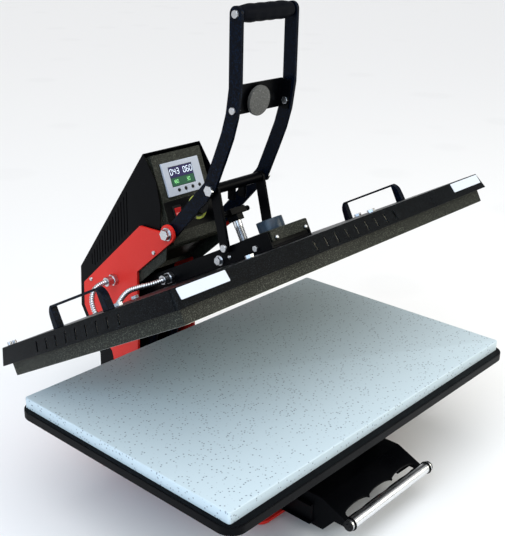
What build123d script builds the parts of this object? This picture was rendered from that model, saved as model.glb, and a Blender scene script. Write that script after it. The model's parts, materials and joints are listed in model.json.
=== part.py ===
"""Large format heat press: a swinging heated upper platen over a padded lower platen on a slide-out drawer."""

from build123d import *
from math import cos, hypot, pi, radians, sin, tan
import os

os.makedirs("parts", exist_ok=True)

# Driving dimensions in millimetres and degrees. "Behind" is measured from the pad's front edge towards the
# tower, and "above" from the pad's top face, because the pad is the working surface that sets every size.
pad_w = 800
pad_d = 500
pad_t = 20
foot_h = 10
base_top_z = -206
base_t = 6
tower_back = 747
pull_front = -32.5
pad_top = foot_h + base_t - base_top_z
pad_front = -(tower_back + pull_front) / 2
sheet_t = 3
running_gap = 0.05

# Swing of the upper platen, the lever and the links
open_tilt = 28.66
hinge_y, hinge_z = 586, 6
lever_y, lever_z = 463, 236
knee_y, knee_z = 358, 342
lever_turn = 84
platen_front_closed = -6
platen_low_closed = 24


def side(x):
    """Plane square to X, with local coordinates (behind, above)."""
    return Plane(origin=(x, pad_front, pad_top), x_dir=(0, 1, 0), z_dir=(1, 0, 0))


def front(y):
    """Upright plane facing forward, with local coordinates (x, above); extruding comes forward."""
    return Plane(origin=(0, pad_front + y, pad_top), x_dir=(1, 0, 0), z_dir=(0, -1, 0))


def level(z):
    """Level plane, with local coordinates (x, y of the model)."""
    return Plane.XY.offset(pad_top + z)


def turned(y, z, about_y, about_z, angle):
    """The point (behind, above) turned by the angle about another one, seen along X."""
    c = cos(radians(angle))
    s = sin(radians(angle))
    dy = y - about_y
    dz = z - about_z
    return about_y + dy * c - dz * s, about_z + dy * s + dz * c


# The upper platen's own frame: x across, d from its front edge towards the hinge, h out of its top
platen_y, platen_z = turned(platen_front_closed, platen_low_closed, hinge_y, hinge_z, -open_tilt)
tilt_c = cos(radians(open_tilt))
tilt_s = sin(radians(open_tilt))
platen_origin = (0, pad_front + platen_y, pad_top + platen_z)
platen = Plane(origin=platen_origin, x_dir=(1, 0, 0), z_dir=(0, tilt_s, tilt_c))
platen_face = Plane(origin=platen_origin, x_dir=(1, 0, 0), z_dir=(0, -tilt_c, tilt_s))


def platen_side(x):
    """Plane square to X that tilts with the platen, with local coordinates (d, h)."""
    origin = (x, pad_front + platen_y, pad_top + platen_z)
    return Plane(origin=origin, x_dir=(0, tilt_c, -tilt_s), z_dir=(1, 0, 0))


def on_platen(y, z):
    """Platen coordinates (d, h) of the point (behind, above), with the platen open."""
    dy = y - platen_y
    dz = z - platen_z
    return dy * tilt_c - dz * tilt_s, dy * tilt_s + dz * tilt_c


def from_platen(d, h):
    """The point (behind, above) of the platen coordinates (d, h), with the platen open."""
    return platen_y + d * tilt_c + h * tilt_s, platen_z - d * tilt_s + h * tilt_c


# The control panel's own frame: u across, v up its face, n out of it
panel_lean = 21.5
panel_y, panel_z = 506, 324.5
lean_c = cos(radians(panel_lean))
lean_s = sin(radians(panel_lean))
panel_origin = (0, pad_front + panel_y, pad_top + panel_z)
panel = Plane(origin=panel_origin, x_dir=(1, 0, 0), z_dir=(0, -lean_c, lean_s))


def panel_side(x):
    """Plane square to X that leans with the panel, with local coordinates (v, n)."""
    origin = (x, pad_front + panel_y, pad_top + panel_z)
    return Plane(origin=origin, x_dir=(0, lean_s, lean_c), z_dir=(1, 0, 0))


def outer_circle(builder, plane):
    """The round edge that lies farthest out along the plane's normal."""
    return builder.edges().filter_by(GeomType.CIRCLE).sort_by(Axis(plane.origin, plane.z_dir))[-1]


# Base plate
base_w = 360
base_front = 130
base_back = 720
base_len = base_back - base_front
base_corner = 25

with BuildPart() as base_plate:
    with BuildSketch(level(base_top_z - base_t)) as outline:
        with Locations((0, pad_front + base_front + base_len / 2)):
            Rectangle(base_w, base_len)
        fillet(outline.vertices(), base_corner)
    extrude(amount=base_t)
base_plate.part.label = "base_plate"
export_step(base_plate.part, "parts/base_plate.step")

# Four rubber feet under the base plate
foot_r = 18
foot_x = 155
foot_front = 165
foot_back = 690

with BuildPart() as rubber_feet:
    with BuildSketch(level(base_top_z - base_t - foot_h)):
        with Locations((0, pad_front + (foot_front + foot_back) / 2)):
            with GridLocations(2 * foot_x, foot_back - foot_front, 2, 2):
                Circle(foot_r - 3)
    extrude(amount=foot_h, taper=-8)
rubber_feet.part.label = "rubber_feet"
export_step(rubber_feet.part, "parts/rubber_feet.step")

# Two channel beams that carry the drawer slides, webs inwards
beam_in = 132
beam_w = 33
beam_h = 60
beam_front = 150
beam_back = 600

with BuildPart() as slide_beams:
    with BuildSketch(front(beam_back)):
        for s in (-1, 1):
            with Locations((s * (beam_in + beam_w / 2), base_top_z + beam_h / 2)):
                Rectangle(beam_w, beam_h)
            with Locations((s * (beam_in + (beam_w + sheet_t) / 2), base_top_z + beam_h / 2)):
                Rectangle(beam_w - sheet_t, beam_h - 2 * sheet_t, mode=Mode.SUBTRACT)
    extrude(amount=beam_back - beam_front)
slide_beams.part.label = "slide_beams"
export_step(slide_beams.part, "parts/slide_beams.step")

# Drawer slides: the outer rails open inwards, the inner rails run in them
slide_z = -176
rail_t = 1.5
outer_rail_h = 46
outer_rail_in = 126
inner_rail_h = 38
cheek_x = 119.5
inner_rail_out = 129
inner_rail_front = 60
inner_rail_back = 530

with BuildPart() as slide_outer:
    with BuildSketch(front(beam_back)):
        for s in (-1, 1):
            with Locations((s * (outer_rail_in + beam_in) / 2, slide_z)):
                Rectangle(beam_in - outer_rail_in, outer_rail_h)
            with Locations((s * (outer_rail_in + beam_in - rail_t) / 2, slide_z)):
                Rectangle(beam_in - outer_rail_in - rail_t, outer_rail_h - 2 * rail_t, mode=Mode.SUBTRACT)
    extrude(amount=beam_back - beam_front)
slide_outer.part.label = "slide_outer"
export_step(slide_outer.part, "parts/slide_outer.step")

with BuildPart() as slide_inner:
    with BuildSketch(front(inner_rail_back)):
        for s in (-1, 1):
            with Locations((s * (cheek_x + inner_rail_out) / 2, slide_z)):
                Rectangle(inner_rail_out - cheek_x, inner_rail_h)
            with Locations((s * (cheek_x + inner_rail_out + rail_t) / 2, slide_z)):
                Rectangle(inner_rail_out - cheek_x - rail_t, inner_rail_h - 2 * rail_t, mode=Mode.SUBTRACT)
    extrude(amount=inner_rail_back - inner_rail_front)
slide_inner.part.label = "slide_inner"
export_step(slide_inner.part, "parts/slide_inner.step")

# Red side plates of the tower, each with a round lobe that carries the lever pivot
plate_in = 77
plate_t = 6
plate_out = plate_in + plate_t
lobe_r = 18
lobe_tangent = (451.2, 222.4)
plate_corner = 5
plate_points = [
    lobe_tangent,
    (552.6, 134.8),
    (557, -30),
    (557, base_top_z),
    (637, base_top_z),
    (637, -84),
    (641, -70),
    (712, -13),
    (727, 12),
    (725, 65),
    (541.5, 234),
    (lever_y, lever_z),
]
lever_pin_r = 8
hinge_pin_r = 8
gas_pin_r = 6
gas_base_y, gas_base_z = 600, -170
screw_r = 2.5
screw_spots = [(699, 79), (501, 189), (668, 40), (620, -110)]
gland_y, gland_z = 622, 100
gland_thread_r = 8

for name, x in (("side_plate_left", -plate_out), ("side_plate_right", plate_in)):
    with BuildPart() as side_plate:
        with BuildSketch(side(x)):
            with BuildLine():
                edge = FilletPolyline(*plate_points, radius=plate_corner)
                Line(edge @ 1, edge @ 0)
            make_face()
            with Locations((lever_y, lever_z)):
                Circle(lobe_r)
                Circle(lever_pin_r, mode=Mode.SUBTRACT)
            with Locations((hinge_y, hinge_z)):
                Circle(hinge_pin_r, mode=Mode.SUBTRACT)
            with Locations((gas_base_y, gas_base_z)):
                Circle(gas_pin_r, mode=Mode.SUBTRACT)
            with Locations(*screw_spots):
                Circle(screw_r, mode=Mode.SUBTRACT)
            if x < 0:
                with Locations((gland_y, gland_z)):
                    Circle(gland_thread_r, mode=Mode.SUBTRACT)
        extrude(amount=plate_t)
    side_plate.part.label = name
    export_step(side_plate.part, f"parts/{name}.step")

# Pan head screws through the side plates
pan_r = 4.5
pan_h = 2.8

with BuildPart() as tower_screws:
    for s in (-1, 1):
        with BuildSketch(side(s * plate_in)):
            with Locations(*screw_spots):
                Circle(screw_r)
        extrude(amount=s * plate_t)
        with BuildSketch(side(s * plate_out)):
            with Locations(*screw_spots):
                Circle(pan_r)
        extrude(amount=s * pan_h, taper=18)
tower_screws.part.label = "tower_screws"
export_step(tower_screws.part, "parts/tower_screws.step")

# Sheet guard that closes the tower's front between the lobes and the platen arms
guard_half = 76.8
guard_flange = 14
guard_top = (470, 212)
guard_low = (556, 137)

with BuildPart() as front_guard:
    with BuildSketch(side(-guard_half)):
        with BuildLine():
            FilletPolyline((477, 196), guard_top, guard_low, (551, 127), radius=3)
        trace(line_width=2)
    extrude(amount=2 * guard_half)
    with BuildSketch(side(-guard_half)):
        with BuildLine():
            Polyline(guard_top, guard_low, (552, 110), (474, 178), close=True)
        make_face()
    extrude(amount=1.6)
    mirror(about=Plane.YZ)
front_guard.part.label = "front_guard"
export_step(front_guard.part, "parts/front_guard.step")

# Tower cover: sides and back of bent sheet, open to the front
cover_half = 76
cover_side_t = 1.5
cover_back_t = 2.5
tower_outline = [
    (534, 378),
    (742, 95),
    (tower_back, 3.6),
    (731, -22),
    (690, -94),
    (690, base_top_z),
    (612, base_top_z),
    (612, 135),
    (520, 215),
    (490, 232),
    (488, 284),
    (499, 330),
]
louvre_count = 15
louvre_pitch = 9
inlet_z = -150
inlet_w = 28
inlet_h = 20

with BuildPart() as tower_cover:
    with BuildSketch(side(-cover_half)):
        with BuildLine():
            Polyline(*tower_outline, close=True)
        make_face()
    extrude(amount=2 * cover_half)
    with BuildSketch(side(-cover_half + cover_side_t)):
        with BuildLine():
            Polyline(*[(y - cover_back_t, z) for y, z in tower_outline], close=True)
        make_face()
    extrude(amount=2 * (cover_half - cover_side_t), mode=Mode.SUBTRACT)
    with BuildSketch(side(-cover_half)):
        for index in range(louvre_count):
            louvre_y = 585 + index * louvre_pitch
            louvre_top = 378 - (louvre_y - 534) * 283 / 208 - 16
            louvre_low = max(222 - (louvre_y - 556) * 0.92 + 14, 110)
            if louvre_top - louvre_low > 16:
                with Locations((louvre_y, (louvre_top + louvre_low) / 2)):
                    Rectangle(2.4, louvre_top - louvre_low)
    extrude(amount=2 * cover_half, mode=Mode.SUBTRACT)
    with BuildSketch(front(tower_back)):
        with Locations((0, inlet_z)):
            Rectangle(inlet_w, inlet_h)
    extrude(amount=tower_back - 660, mode=Mode.SUBTRACT)
tower_cover.part.label = "tower_cover"
export_step(tower_cover.part, "parts/tower_cover.step")

# Mains inlet in the back wall of the cover, with three blades in its cavity
inlet_face = 690

with BuildPart() as power_inlet:
    with BuildSketch(front(inlet_face)):
        with Locations((0, inlet_z)):
            Rectangle(inlet_w - 0.2, inlet_h - 0.2)
    extrude(amount=22)
    with BuildSketch(front(inlet_face + 3)) as flange:
        with Locations((0, inlet_z)):
            RectangleRounded(48, 27, 5)
    extrude(amount=3)
    with BuildSketch(front(inlet_face + 3)):
        with Locations((0, inlet_z)):
            Rectangle(24, 16)
    extrude(amount=17, mode=Mode.SUBTRACT)
    with BuildSketch(front(inlet_face + 1)):
        with Locations((-7, inlet_z - 2), (0, inlet_z + 2), (7, inlet_z - 2)):
            Rectangle(2, 4)
    extrude(amount=16)
power_inlet.part.label = "power_inlet"
export_step(power_inlet.part, "parts/power_inlet.step")

# Control panel: a shallow pan between the sides of the cover
panel_half = 66
panel_top = 52
panel_low = -122
panel_depth = 14
lip_half = 74.2
sheet = 2
rocker_u, rocker_v = -36, -64.7
dial_u, dial_v = 17, -65.4
dial_shaft_r = 3
switch_body_w, switch_body_h = 18.8, 24.8
switch_rim_w, switch_rim_h = 22, 28

with BuildPart() as control_panel:
    with BuildSketch(panel):
        with Locations((0, (panel_top + panel_low) / 2)):
            Rectangle(2 * panel_half, panel_top - panel_low)
        with Locations((rocker_u, rocker_v)):
            Rectangle(switch_body_w + 0.2, switch_body_h + 0.2, mode=Mode.SUBTRACT)
        with Locations((dial_u, dial_v)):
            Circle(dial_shaft_r + 1, mode=Mode.SUBTRACT)
    extrude(amount=-sheet)
    with BuildSketch(panel) as rim:
        with Locations((0, (panel_top + panel_low) / 2)):
            Rectangle(2 * panel_half, panel_top - panel_low)
            Rectangle(2 * (panel_half - sheet), panel_top - panel_low - 2 * sheet, mode=Mode.SUBTRACT)
    extrude(amount=-panel_depth)
    with BuildSketch(panel.offset(-panel_depth)):
        for s in (-1, 1):
            with Locations((s * (panel_half - sheet + lip_half) / 2, (panel_top - 90) / 2)):
                Rectangle(lip_half - panel_half + sheet, panel_top + 90)
    extrude(amount=sheet)
control_panel.part.label = "control_panel"
export_step(control_panel.part, "parts/control_panel.step")

# Display: a light frame with a window, its screen and four button holes
bezel_w = 98
bezel_h = 66
bezel_t = 5
screen_w = 63
screen_h = 39
screen_u, screen_v = -3, 3.5
button_us = (-20.3, -2.2, 16.3, 35)
button_v = -23.5
button_r = 3
button_gap = 0.3

with BuildPart() as display_bezel:
    with BuildSketch(panel) as bezel_face:
        RectangleRounded(bezel_w, bezel_h, 2)
        with Locations((screen_u, screen_v)):
            Rectangle(screen_w, screen_h, mode=Mode.SUBTRACT)
        with Locations(*[(u, button_v) for u in button_us]):
            Circle(button_r + button_gap, mode=Mode.SUBTRACT)
    extrude(amount=bezel_t)
display_bezel.part.label = "display_bezel"
export_step(display_bezel.part, "parts/display_bezel.step")

with BuildPart() as display_screen:
    with BuildSketch(panel):
        with Locations((screen_u, screen_v)):
            Rectangle(screen_w - 0.2, screen_h - 0.2)
    extrude(amount=bezel_t - 1.4)
display_screen.part.label = "display_screen"
export_step(display_screen.part, "parts/display_screen.step")

# Four push buttons in the bezel
for index, u in enumerate(button_us, start=1):
    with BuildPart() as button:
        with BuildSketch(panel.offset(1.5)):
            with Locations((u, button_v)):
                Circle(button_r)
        extrude(amount=bezel_t - 0.2)
        chamfer(outer_circle(button, panel), 0.5)
    button.part.label = f"button_{index}"
    export_step(button.part, f"parts/button_{index}.step")

# Power switch: a frame in the panel and a rocker that turns in it
frame_t = 2
rocker_half_u = 6.8
rocker_r = 9.4
rocker_pivot_n = 1
rocker_tilt = 8

with BuildPart() as switch_frame:
    with BuildSketch(panel.offset(-12)):
        with Locations((rocker_u, rocker_v)):
            Rectangle(switch_body_w, switch_body_h)
            Rectangle(2 * rocker_half_u + 0.8, 2 * rocker_r + 1, mode=Mode.SUBTRACT)
    extrude(amount=12)
    with BuildSketch(panel):
        with Locations((rocker_u, rocker_v)):
            RectangleRounded(switch_rim_w, switch_rim_h, 2)
            Rectangle(2 * rocker_half_u + 0.8, 2 * rocker_r + 1, mode=Mode.SUBTRACT)
    extrude(amount=frame_t)
switch_frame.part.label = "switch_frame"
export_step(switch_frame.part, "parts/switch_frame.step")

with BuildPart() as power_rocker:
    with BuildSketch(panel_side(rocker_u - rocker_half_u)) as rocker_shape:
        with Locations((rocker_v, rocker_pivot_n)):
            Circle(rocker_r)
        with Locations((rocker_v, rocker_pivot_n + rocker_r / 2 + 0.01)):
            Rectangle(3 * rocker_r, rocker_r, mode=Mode.SUBTRACT)
        with BuildLine():
            tips = [(-rocker_r, 0), (-rocker_r, 3.4), (0, 2), (rocker_r, 3.4), (rocker_r, 0)]
            Polyline(*[(rocker_v + v, rocker_pivot_n + n) for v, n in tips], close=True)
        make_face()
    extrude(amount=2 * rocker_half_u)
rocker_axis = Axis(panel.from_local_coords((rocker_u, rocker_v, rocker_pivot_n)), (1, 0, 0))
power_rocker.part = power_rocker.part.rotate(rocker_axis, rocker_tilt)
power_rocker.part.label = "power_rocker"
export_step(power_rocker.part, "parts/power_rocker.step")

# Pressure dial: a printed ring and a knob with a grip rim
ring_r = 24.5
knob_r = 16
knob_h = 14

with BuildPart() as dial_plate:
    with BuildSketch(panel):
        with Locations((dial_u, dial_v)):
            Circle(ring_r)
            Circle(dial_shaft_r + 1, mode=Mode.SUBTRACT)
    extrude(amount=1)
dial_plate.part.label = "dial_plate"
export_step(dial_plate.part, "parts/dial_plate.step")

with BuildPart() as dial_knob:
    with BuildSketch(panel.offset(1.4)):
        with Locations((dial_u, dial_v)):
            Circle(knob_r)
    extrude(amount=knob_h, taper=5)
    with BuildSketch(panel.offset(-8)):
        with Locations((dial_u, dial_v)):
            Circle(dial_shaft_r)
    extrude(amount=10)
    with BuildSketch(panel.offset(1.4 + knob_h)):
        with Locations((dial_u, dial_v + knob_r / 2)):
            Rectangle(1.6, knob_r)
    extrude(amount=-1, mode=Mode.SUBTRACT)
dial_knob.part.label = "dial_knob"
export_step(dial_knob.part, "parts/dial_knob.step")

# Control board on four posts behind the panel
board_back = -28
post_r = 3

with BuildPart() as control_board:
    with BuildSketch(panel.offset(board_back)):
        with Locations((0, -6)):
            Rectangle(100, 84)
    extrude(amount=1.6)
    with BuildSketch(panel.offset(board_back + 1.6)):
        with Locations((0, -6)):
            with GridLocations(88, 72, 2, 2):
                Circle(post_r)
    extrude(amount=-board_back - 1.6 - sheet)
    with BuildSketch(panel.offset(board_back)):
        with Locations((-22, -20), (26, 10)):
            Rectangle(34, 30)
    extrude(amount=-22)
control_board.part.label = "control_board"
export_step(control_board.part, "parts/control_board.step")

# Fixed pins of the tower: the hinge shaft of the platen arms, with its spacers, and the gas springs' pin
arm_in = 51
arm_t = 4
arm_out = arm_in + arm_t
spacer_r = 13

with BuildPart() as tower_pins:
    with BuildSketch(side(-plate_out)):
        with Locations((hinge_y, hinge_z)):
            Circle(hinge_pin_r)
        with Locations((gas_base_y, gas_base_z)):
            Circle(gas_pin_r)
    extrude(amount=2 * plate_out)
    for s in (-1, 1):
        with BuildSketch(side(s * (arm_out + 1.3))):
            with Locations((hinge_y, hinge_z)):
                Circle(spacer_r)
        extrude(amount=s * (plate_in - arm_out - 1.3))
        with BuildSketch(side(s * plate_out)):
            with Locations((hinge_y, hinge_z)):
                RegularPolygon(12, 6)
            with Locations((gas_base_y, gas_base_z)):
                RegularPolygon(9, 6)
        extrude(amount=s * 6)
tower_pins.part.label = "tower_pins"
export_step(tower_pins.part, "parts/tower_pins.step")

# Shoulder bolts that carry the lever bars on the lobes
bar_in = 68
bar_t = 6
bar_out = bar_in + bar_t
washer_r = 13
bolt_head_r = 11

with BuildPart() as lever_pivot_bolts:
    for s in (-1, 1):
        with BuildSketch(side(s * (bar_in - 1.5))):
            with Locations((lever_y, lever_z)):
                Circle(lever_pin_r)
        extrude(amount=s * (plate_out - bar_in + 1.5))
        with BuildSketch(side(s * plate_out)):
            with Locations((lever_y, lever_z)):
                Circle(washer_r)
        extrude(amount=s * 2)
        with BuildSketch(side(s * (plate_out + 2))):
            with Locations((lever_y, lever_z)):
                RegularPolygon(bolt_head_r, 6)
        extrude(amount=s * 8)
lever_pivot_bolts.part.label = "lever_pivot_bolts"
export_step(lever_pivot_bolts.part, "parts/lever_pivot_bolts.step")


# Carriage of the drawer: an upturned trough of bent sheet whose front slopes down to the pull tube
carriage_top = -136.5
carriage_low = -200.5
carriage_back = 540
tube_y, tube_z = -20.5, -160
tube_r = 9.75
collar_r = 12
hole_w = 214
hole_front = -6
hole_back = 0
lobe_w, lobe_d = 34, 7

with BuildPart() as carriage:
    with BuildSketch(side(-cheek_x)):
        with BuildLine():
            FilletPolyline(
                (carriage_back, carriage_top - sheet_t / 2),
                (43, carriage_top - sheet_t / 2),
                (12, -151.5),
                (tube_y + 4, -164),
                radius=12,
            )
        trace(line_width=sheet_t)
        with Locations((tube_y, tube_z)):
            Circle(tube_r, mode=Mode.SUBTRACT)
    extrude(amount=2 * cheek_x)
    with BuildSketch(side(-cheek_x)):
        with BuildLine():
            Polyline(
                (carriage_back, carriage_top - sheet_t / 2),
                (carriage_back, carriage_low),
                (38, carriage_low),
                (14, -172),
                (tube_y, tube_z - collar_r),
                (tube_y, tube_z),
                (-2, -159),
                (12, -151.5),
                (43, carriage_top - sheet_t / 2),
                close=True,
            )
        make_face()
        with Locations((tube_y, tube_z)):
            Circle(collar_r)
            Circle(tube_r, mode=Mode.SUBTRACT)
    extrude(amount=sheet_t)
    mirror(about=Plane.YZ)
    with BuildSketch(level(carriage_low)):
        with Locations((0, pad_front + (hole_front + hole_back) / 2)):
            Rectangle(hole_w, hole_back - hole_front)
        with Locations(*[(x, pad_front + hole_back) for x in (-71, 0, 71)]):
            Ellipse(lobe_w, lobe_d)
    extrude(amount=carriage_top - carriage_low + 10, mode=Mode.SUBTRACT)
carriage.part.label = "carriage"
export_step(carriage.part, "parts/carriage.step")

# Pull tube across the front of the carriage, with a cap at each end
tube_half = 124
cap_t = 3

with BuildPart() as pull_tube:
    with BuildSketch(side(-tube_half)):
        with Locations((tube_y, tube_z)):
            Circle(tube_r)
            Circle(tube_r - 1.5, mode=Mode.SUBTRACT)
    extrude(amount=2 * tube_half)
pull_tube.part.label = "pull_tube"
export_step(pull_tube.part, "parts/pull_tube.step")

with BuildPart() as tube_caps:
    for s in (-1, 1):
        with BuildSketch(side(s * tube_half)):
            with Locations((tube_y, tube_z)):
                Circle(tube_r)
        extrude(amount=s * cap_t)
        with BuildSketch(side(s * tube_half)):
            with Locations((tube_y, tube_z)):
                Circle(tube_r - 1.6)
        extrude(amount=-s * 10)
        with BuildSketch(side(s * (tube_half + cap_t))):
            with Locations((tube_y, tube_z)):
                Circle(5)
        extrude(amount=s * 2.5, taper=20)
tube_caps.part.label = "tube_caps"
export_step(tube_caps.part, "parts/tube_caps.step")

# Support frame between the carriage and the lower plate
post_x = 85
post_w = 30
frame_front = 90
frame_back = 430
lower_plate_t = 16
lower_plate_low = -pad_t - lower_plate_t
beam_depth = 10

with BuildPart() as support_frame:
    with BuildSketch(level(carriage_top)):
        with Locations((0, pad_front + (frame_front + frame_back) / 2)):
            with GridLocations(2 * post_x, frame_back - frame_front, 2, 2):
                Rectangle(post_w, post_w)
    extrude(amount=lower_plate_low - beam_depth - carriage_top)
    with BuildSketch(level(lower_plate_low - beam_depth)):
        with Locations((0, pad_front + (frame_front + frame_back) / 2)):
            with GridLocations(2 * post_x, 1, 2, 1):
                Rectangle(post_w, frame_back - frame_front + post_w)
            with GridLocations(1, frame_back - frame_front, 1, 2):
                Rectangle(600, 40)
    extrude(amount=beam_depth)
support_frame.part.label = "support_frame"
export_step(support_frame.part, "parts/support_frame.step")

# Lower plate and the silicone pad on it
lower_plate_w = 820
lower_plate_front = -15
lower_plate_back = 510
lower_plate_d = lower_plate_back - lower_plate_front

with BuildPart() as lower_plate:
    with BuildSketch(level(lower_plate_low)):
        with Locations((0, pad_front + (lower_plate_front + lower_plate_back) / 2)):
            RectangleRounded(lower_plate_w, lower_plate_d, 30)
    extrude(amount=lower_plate_t)
    chamfer(lower_plate.edges().group_by(Axis.Z)[-1], 1)
lower_plate.part.label = "lower_plate"
export_step(lower_plate.part, "parts/lower_plate.step")

with BuildPart() as silicone_pad:
    with BuildSketch(level(-pad_t)):
        with Locations((0, pad_front + pad_d / 2)):
            RectangleRounded(pad_w, pad_d, 5)
    extrude(amount=pad_t)
    fillet(silicone_pad.edges().group_by(Axis.Z)[-1], 1.5)
silicone_pad.part.label = "silicone_pad"
export_step(silicone_pad.part, "parts/silicone_pad.step")

# Upper platen cover: a shallow pan with drawn-in walls, an inner return flange and vent slots
cover_w = 850
cover_d = 512
cover_h = 31
cover_t = 2
cover_draw = 7
flange_w = 18
slot_count = 9
side_slot_pitch = 30.25
side_slot_mid = 262
front_slot_pitch = 28
stud_spots = [(-170, 95), (170, 95), (-170, 420), (170, 420), (-330, 256), (330, 256)]
stud_r = 4

with BuildPart() as platen_cover:
    with BuildSketch(platen):
        with Locations((0, cover_d / 2)):
            RectangleRounded(cover_w, cover_d, 8)
    with BuildSketch(platen.offset(cover_h)):
        with Locations((0, cover_d / 2)):
            RectangleRounded(cover_w - 2 * cover_draw, cover_d - 2 * cover_draw, 8)
    loft()
    with BuildSketch(platen):
        with Locations((0, cover_d / 2)):
            RectangleRounded(cover_w - 2 * cover_t, cover_d - 2 * cover_t, 6)
    with BuildSketch(platen.offset(cover_h - cover_t)):
        with Locations((0, cover_d / 2)):
            inner_shrink = 2 * (cover_draw + cover_t - 0.4)
            RectangleRounded(cover_w - inner_shrink, cover_d - inner_shrink, 6)
    loft(mode=Mode.SUBTRACT)
    with BuildSketch(platen):
        with Locations((0, cover_d / 2)):
            RectangleRounded(cover_w - cover_t, cover_d - cover_t, 7)
            Rectangle(cover_w - 2 * flange_w, cover_d - 2 * flange_w, mode=Mode.SUBTRACT)
    extrude(amount=cover_t)
    with BuildSketch(platen_side(-cover_w / 2)):
        with Locations((side_slot_mid, 14)):
            with GridLocations(side_slot_pitch, 1, slot_count, 1):
                Rectangle(3.5, 17)
    extrude(amount=cover_w, mode=Mode.SUBTRACT)
    with BuildSketch(platen_face):
        with Locations((0, 14)):
            with GridLocations(front_slot_pitch, 1, slot_count, 1):
                Rectangle(3.5, 16)
    extrude(amount=-15, mode=Mode.SUBTRACT)
    with BuildSketch(platen.offset(cover_h - cover_t)):
        with Locations(*stud_spots):
            Circle(stud_r)
    extrude(amount=cover_t, mode=Mode.SUBTRACT)
platen_cover.part.label = "platen_cover"
export_step(platen_cover.part, "parts/platen_cover.step")

# Heating plate, its element and the insulation over it
block_half = 410.5
block_front = 14.5
block_back = 497.5
block_mid = (block_front + block_back) / 2
skirt_t = 1.5
skirt_low = -23
heater_low = -23.5
heater_top = -8
heater_w = 2 * (block_half - skirt_t)
heater_d = block_back - block_front - 2 * skirt_t

with BuildPart() as heating_plate:
    with BuildSketch(platen.offset(heater_low)):
        with Locations((0, block_mid)):
            Rectangle(heater_w, heater_d)
    extrude(amount=heater_top - heater_low)
heating_plate.part.label = "heating_plate"
export_step(heating_plate.part, "parts/heating_plate.step")

with BuildPart() as plate_skirt:
    with BuildSketch(platen.offset(skirt_low)):
        with Locations((0, block_mid)):
            Rectangle(2 * block_half, block_back - block_front)
            Rectangle(heater_w, heater_d, mode=Mode.SUBTRACT)
    extrude(amount=-skirt_low)
plate_skirt.part.label = "plate_skirt"
export_step(plate_skirt.part, "parts/plate_skirt.step")

with BuildPart() as insulation_board:
    with BuildSketch(platen.offset(0.2)):
        with Locations((0, block_mid)):
            Rectangle(810, 472)
        with Locations(*stud_spots):
            Circle(stud_r, mode=Mode.SUBTRACT)
    extrude(amount=22)
insulation_board.part.label = "insulation_board"
export_step(insulation_board.part, "parts/insulation_board.step")

element_r = 3.7
element_run = 380
element_ds = [50, 132, 214, 296, 378, 460]
element_points = []
for index, d in enumerate(element_ds):
    start = -element_run if index % 2 == 0 else element_run
    element_points.append((start, d))
    element_points.append((-start, d))

with BuildPart() as heating_element:
    with BuildLine(platen.offset(heater_top + element_r + 0.1)) as element_line:
        FilletPolyline(*element_points, radius=30)
    element_start = element_line.line @ 0
    with BuildSketch(Plane(origin=element_start, x_dir=(0, tilt_c, -tilt_s), z_dir=(1, 0, 0))):
        Circle(element_r)
    sweep(path=element_line.line)
heating_element.part.label = "heating_element"
export_step(heating_element.part, "parts/heating_element.step")

# Studs and cap nuts that hang the heating plate from the cover, and two small screws at a back corner
with BuildPart() as platen_studs:
    with BuildSketch(platen.offset(heater_top)):
        with Locations(*stud_spots):
            Circle(stud_r)
    extrude(amount=cover_h - heater_top)
    with BuildSketch(platen.offset(cover_h)):
        with Locations(*stud_spots):
            RegularPolygon(8, 6)
    extrude(amount=6)
    with BuildSketch(platen.offset(cover_h)):
        with Locations((-408, 488), (-396, 492)):
            Circle(4)
    extrude(amount=6)
platen_studs.part.label = "platen_studs"
export_step(platen_studs.part, "parts/platen_studs.step")

# Arm channel on the cover: two walls that run back to the hinge, joined by a web, a front plate
# and a welded pin for the gas springs
channel_front = 151
channel_h = 63
web_t = 4
hinge_d, hinge_h = on_platen(hinge_y, hinge_z)
boss_r = 22
bush_r = 12
gas_arm_d, gas_arm_h = 520, 30
gas_arm_pin_r = 5
big_bolt = (291, 44)
gland_platen_d, gland_platen_h = 440, 46
gland_platen_r = 7

with BuildPart() as arm_channel:
    for x in (-arm_out, arm_in):
        with BuildSketch(platen_side(x)):
            with BuildLine():
                Polyline(
                    (channel_front, cover_h),
                    (channel_front, channel_h),
                    (512, channel_h),
                    (hinge_d + 14, hinge_h + 17),
                    (hinge_d - 14, hinge_h - 17),
                    (518, 0),
                    (511, cover_h),
                    close=True,
                )
            make_face()
            with Locations((hinge_d, hinge_h)):
                Circle(boss_r)
                Circle(bush_r, mode=Mode.SUBTRACT)
            if x < 0:
                with Locations((gland_platen_d, gland_platen_h)):
                    Circle(gland_platen_r, mode=Mode.SUBTRACT)
        extrude(amount=arm_t)
    with BuildSketch(platen.offset(cover_h)):
        with Locations((0, (channel_front + 503) / 2)):
            Rectangle(2 * arm_out, 503 - channel_front)
    extrude(amount=web_t)
    with BuildSketch(platen_side(-arm_out)):
        with Locations((channel_front + 5, (cover_h + 58) / 2)):
            Rectangle(3, 58 - cover_h)
        with Locations((gas_arm_d, gas_arm_h)):
            Circle(gas_arm_pin_r)
    extrude(amount=2 * arm_out)
arm_channel.part.label = "arm_channel"
export_step(arm_channel.part, "parts/arm_channel.step")

# Bushes in the arm bosses
with BuildPart() as hinge_bushes:
    for s in (-1, 1):
        with BuildSketch(platen_side(s * (arm_in - 1))):
            with Locations((hinge_d, hinge_h)):
                Circle(bush_r)
                Circle(hinge_pin_r + running_gap, mode=Mode.SUBTRACT)
        extrude(amount=s * (arm_t + 2))
hinge_bushes.part.label = "hinge_bushes"
export_step(hinge_bushes.part, "parts/hinge_bushes.step")

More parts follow.
